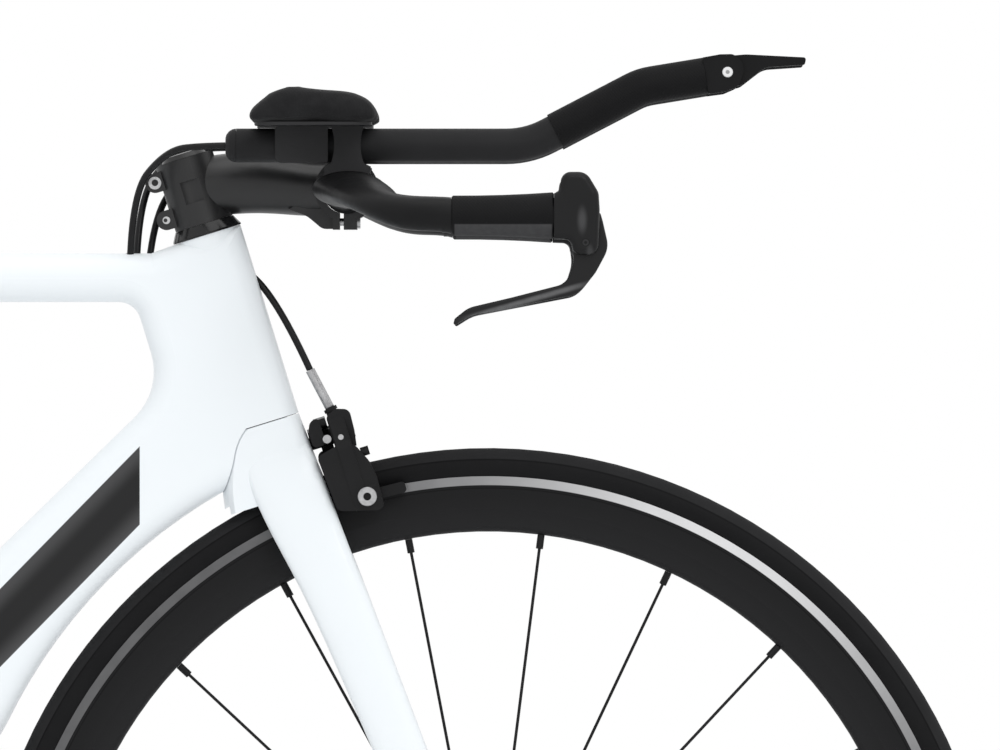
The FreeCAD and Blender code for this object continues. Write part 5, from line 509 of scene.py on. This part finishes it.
WHITE = white_paint("white_paint").material
STRIPED = striped_paint().material
STEM = black_metal("stem_black", 22, 0.38, 0.5)
BAR = black_metal("bar_black", 19, 0.42)
TUBE = black_metal("extension_black", 39, 0.5, 0.08)
LEVER = lever_finish()
QUICK_RELEASE = black_metal("quick_release_black", 24, 0.32, 0.25)
BRAKE = black_metal("brake_black", 26, 0.38)


def front_row(way):
    """How far along a way a point of the front brake is, as shares of x and z and a start."""
    return (*way, -way[0] * STEER_FOOT[0] - way[1] * STEER_FOOT[1])


def rear_row(way):
    """The same for the rear brake, which is the front one turned round and tipped back."""
    c, s = math.cos(REAR_BRAKE_TURN), math.sin(REAR_BRAKE_TURN)
    across, rise = -way[0] * c + way[1] * s, way[0] * s + way[1] * c
    start = way[0] * (FRONT_HUB[0] - STEER_FOOT[0])
    return (across, rise, start - across * REAR_HUB[0] - rise * REAR_HUB[1])


FRONT_ARM = brake_finish("front_brake_black", front_row(FRONT_AHEAD), front_row(FRONT_UP), 1)
REAR_ARM = brake_finish("rear_brake_black", rear_row(FRONT_AHEAD), rear_row(FRONT_UP), -1)
SHIFT = pivot_finish("shift_black", 18)
CRANK = black_metal("crank_black", 32, 0.34, 0.3)
GEAR = black_metal("gear_black", 50, 0.36, 0.3)
WIRE = black_metal("spoke_black", 24, 0.4)
SHINE = gloss_black("cover_black", 22)
HOOD = hood_finish()
PLASTIC = moulded_black("plastic_black", 34, 0.5, 900)
CLAMP = moulded_black("clamp_black", 52, 0.5, 900)
STEEL = bright_steel("bolt_steel", 190, 0.3)
COCKPIT_STEEL = cockpit_steel()
CHAIN = bright_steel("chain_steel", 165, 0.34)
RAIL = bright_steel("rail_steel", 150, 0.36)
HOSE = hose_finish()
FOAM = cloth_finish("armrest_cover", 33)
SADDLE = cloth_finish("saddle_cover", 30, 1800)
GRIP = grip_finish()

LOOKS = {
    "frame": STRIPED, "fork": WHITE,
    "stem": STEM, "headset_cover": SHINE, "seat_clamp": SHINE, "base_bar": BAR, "extension_clamps": CLAMP,
    "extensions": TUBE, "seat_post": BAR, "lever_bodies": HOOD, "bar_grips": GRIP,
    "saddle_shell": PLASTIC, "saddle_rails": RAIL, "cockpit_bolts": COCKPIT_STEEL, "headset_bearings": GEAR,
    "bottom_bracket_cups": GEAR, "front_hub": CRANK, "rear_hub": CRANK,
    "front_axle": STEEL, "rear_axle": STEEL,
    "front_spokes": WIRE, "rear_spokes": WIRE, "chain": CHAIN, "cassette": CHAIN, "chainrings": CRANK,
    "crank_left": CRANK, "crank_right": CRANK, "left_pedal": PLASTIC, "right_pedal": PLASTIC,
    "rd_guide_pulley": PLASTIC, "rd_tension_pulley": PLASTIC,
    "front_rim": rim_finish("front_rim_black", FRONT_HUB), "rear_rim": rim_finish("rear_rim_black", REAR_HUB),
    "front_tyre": tyre_finish("front_tyre_rubber", FRONT_HUB),
    "rear_tyre": tyre_finish("rear_tyre_rubber", REAR_HUB),
}
for hand in ("left", "right"):
    LOOKS[f"brake_lever_{hand}"] = LEVER
for name in ("shifter_bodies", "shift_lever_left", "shift_lever_right"):
    LOOKS[name] = SHIFT
for end, arm in (("front", FRONT_ARM), ("rear", REAR_ARM)):
    LOOKS[f"{end}_brake_bracket"] = BRAKE
    LOOKS[f"{end}_qr_lever"] = QUICK_RELEASE
    for hand in ("left", "right"):
        LOOKS[f"{end}_brake_arm_{hand}"] = arm
for name in ("front_derailleur_body", "front_derailleur_cage", "derailleur_hanger", "rd_b_knuckle",
             "rd_outer_link", "rd_inner_link", "rd_p_knuckle", "rd_cage"):
    LOOKS[name] = GEAR
for name, material in LOOKS.items():
    NODES[name].data.materials.clear()
    NODES[name].data.materials.append(material)


# Cables
def steer_point(up, ahead, side):
    """A point beside the steering axis."""
    x = STEER_FOOT[0] - math.sin(LEAN) * up + math.cos(LEAN) * ahead
    return (x, side, STEER_FOOT[1] + math.cos(LEAN) * up + math.sin(LEAN) * ahead)


def hose(name, route):
    """A cable hose on one smooth line through its route's points."""
    curve = bpy.data.curves.new(name + "_line", "CURVE")
    curve.dimensions = "3D"
    curve.resolution_u = 12
    spline = curve.splines.new("NURBS")
    spline.points.add(len(route) - 1)
    for point, spot in zip(spline.points, route):
        point.co = (*spot, 1)
    spline.order_u = 3
    spline.use_endpoint_u = True
    holder = bpy.data.objects.new(name + "_line", curve)
    bpy.context.collection.objects.link(holder)
    bpy.context.view_layer.update()
    path = [tuple(v.co) for v in bpy.data.meshes.new_from_object(holder).vertices]
    curve.bevel_depth = CABLE_WIDTH / 2
    curve.bevel_resolution = 4
    curve.use_fill_caps = True
    tube = holder.evaluated_get(bpy.context.evaluated_depsgraph_get())
    piece = bpy.data.objects.new(name, bpy.data.meshes.new_from_object(tube))
    bpy.context.collection.objects.link(piece)
    bpy.data.objects.remove(holder)
    piece.data.materials.clear()
    piece.data.materials.append(HOSE)
    for face in piece.data.polygons:
        face.use_smooth = True
    return piece


TOP_PORT = 0.776
EXTENSION_LEVEL = 0.8664
FRONT_STOP = (0.37792, -0.015, 0.71954)
HOSES = {
    "right_shift_hose": [(0.2595, -0.009, TOP_PORT), (0.2596, -0.013, 0.8344), (0.284, -0.045, 0.8634),
                         (0.308, -0.062, EXTENSION_LEVEL), (0.338, -0.062, EXTENSION_LEVEL)],
    "left_shift_hose": [(0.2635, 0.0, TOP_PORT), (0.2638, 0.005, 0.8304), (0.286, 0.042, 0.8624),
                        (0.308, 0.062, EXTENSION_LEVEL), (0.338, 0.062, EXTENSION_LEVEL)],
    "bar_brake_hose": [(0.2707, 0.009, TOP_PORT), (0.275, 0.016, 0.842), (0.322, 0.044, 0.846),
                       (0.376, 0.048, 0.838)],
    "front_brake_hose": [steer_point(0.462, 0.0198, -0.004), steer_point(0.446, 0.031, -0.008), FRONT_STOP],
}
for name, route in HOSES.items():
    piece = hose(name, route)
    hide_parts("control_cables")
    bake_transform(piece)
REAR_HOSES = {
    "rear_brake_hose": [(-0.23012, 0.006, 0.70940), (-0.25227, 0.015, 0.68676), (-0.27032, 0.015, 0.66846)],
    "rear_shift_hose": [(-0.430, -0.0665, 0.325), (-0.464, -0.0885, 0.327), (-0.546, -0.090, 0.327),
                        (-0.546, -0.086, 0.292), (-0.521, -0.084, 0.292)],
}
for name, route in REAR_HOSES.items():
    piece = hose(name, route)
    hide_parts("rear_cables")
    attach(piece, "frame")


# Soft pads
COVER_PRESSURE = 4
COVER_STEPS = 20
MERGE_REACH = 0.00002


def swell(piece, start, reach):
    """Blows the foam up a little under its cover, no point moving further than its reach."""
    cover = piece.modifiers.new("cover", "CLOTH")
    cover.settings.use_pressure = True
    cover.settings.uniform_pressure_force = COVER_PRESSURE
    cover.settings.effector_weights.gravity = 0
    cover.settings.quality = 5
    scene = bpy.context.scene
    for step in range(1, COVER_STEPS + 1):
        scene.frame_set(step)
    bpy.ops.object.modifier_apply(modifier=cover.name)
    scene.frame_set(1)
    for vertex, rest in zip(piece.data.vertices, start):
        shift = vertex.co - rest
        if shift.length > reach:
            vertex.co = rest + shift * (reach / shift.length)


def foam(name, node, material, body, voxel, shrink, reach):
    """A foam pad in the space of its plain solid."""
    bpy.ops.object.select_all(action="DESELECT")
    piece = bpy.data.objects.new(name, NODES[node].data.copy())
    bpy.context.collection.objects.link(piece)
    bpy.context.view_layer.objects.active = piece
    piece.select_set(True)
    bpy.ops.object.mode_set(mode="EDIT")
    bpy.ops.mesh.select_all(action="SELECT")
    bpy.ops.mesh.remove_doubles(threshold=MERGE_REACH)
    bpy.ops.object.mode_set(mode="OBJECT")
    even = piece.modifiers.new("even", "REMESH")
    even.mode = "VOXEL"
    even.voxel_size = voxel
    bpy.ops.object.modifier_apply(modifier=even.name)
    bpy.ops.object.mode_set(mode="EDIT")
    bpy.ops.mesh.select_all(action="SELECT")
    bpy.ops.transform.shrink_fatten(value=-shrink)
    bpy.ops.object.mode_set(mode="OBJECT")
    swell(piece, [v.co.copy() for v in piece.data.vertices], reach)
    smooth = piece.modifiers.new("smooth", "SUBSURF")
    smooth.levels = smooth.render_levels = 1
    bpy.ops.object.modifier_apply(modifier=smooth.name)
    bpy.ops.object.shade_smooth()
    piece.data.materials.clear()
    piece.data.materials.append(material)
    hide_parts(node)
    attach(piece, body)


foam("armrest_foam", "armrest_pads", FOAM, "steering", voxel=0.004, shrink=0.0008, reach=0.003)
foam("saddle_foam", "saddle_pad", SADDLE, "seat", voxel=0.005, shrink=0.0008, reach=0.004)


# Studio
def studio():
    """White surroundings, a pale floor that fades into them, a wide lamp above and one in front."""
    scene = bpy.context.scene
    scene.view_settings.view_transform = "Standard"
    scene.world = bpy.data.worlds.new("studio")
    around = Shading(scene.world)
    back = around.tree.nodes["Background"]
    back.inputs["Color"].default_value = (1, 1, 1, 1)
    strength = around.white_background() * (1 - FILL_LIGHT) + FILL_LIGHT
    around.tree.links.new(strength.socket, back.inputs["Strength"])

    bpy.ops.object.select_all(action="DESELECT")
    bpy.ops.mesh.primitive_plane_add(size=FLOOR_SIZE, location=(0, 0, 0))
    floor = bpy.context.object
    floor.name = "floor"
    pale = Finish("pale_floor", tone(246, 247, 248), 0.8, Specular_IOR_Level=0.1)
    far = (pale.x * pale.x + pale.y * pale.y).root().above(*FLOOR_FADE)
    white = pale.node("ShaderNodeEmission")
    fade = pale.node("ShaderNodeMixShader", {}, {0: far * pale.white_background(),
                                                 1: pale.shader.outputs[0], 2: white.outputs[0]})
    pale.tree.links.new(fade.outputs[0], pale.tree.nodes["Material Output"].inputs["Surface"])
    floor.data.materials.append(pale.material)

    def lamp(name, spot, aim, size, power):
        data = bpy.data.lights.new(name, "AREA")
        data.shape = "RECTANGLE"
        data.size, data.size_y = size
        data.energy = power
        made = bpy.data.objects.new(name, data)
        bpy.context.collection.objects.link(made)
        made.location = spot
        made.rotation_euler = (Vector(aim) - Vector(spot)).to_track_quat("-Z", "Y").to_euler()

    lamp("top_lamp", (0.6, -0.8, 4.2), (0.3, 0, 0.7), (3.5, 2.5), 30)
    lamp("front_lamp", (1.6, -3.4, 2.9), (0.3, 0, 0.75), (2.0, 1.4), 36)


def camera():
    """A far camera with a long lens, square to the bicycle's right side."""
    data = bpy.data.cameras.new("photo_camera")
    data.lens = LENS
    data.sensor_width = SENSOR
    away = SEEN_WIDTH * LENS / SENSOR
    data.clip_end = away * CLIP_SHARE
    made = bpy.data.objects.new("photo_camera", data)
    bpy.context.collection.objects.link(made)
    made.location = (SEEN_MIDDLE[0], -away, SEEN_MIDDLE[1])
    made.rotation_euler = (math.radians(90), 0, 0)
    bpy.context.scene.camera = made


studio()
camera()
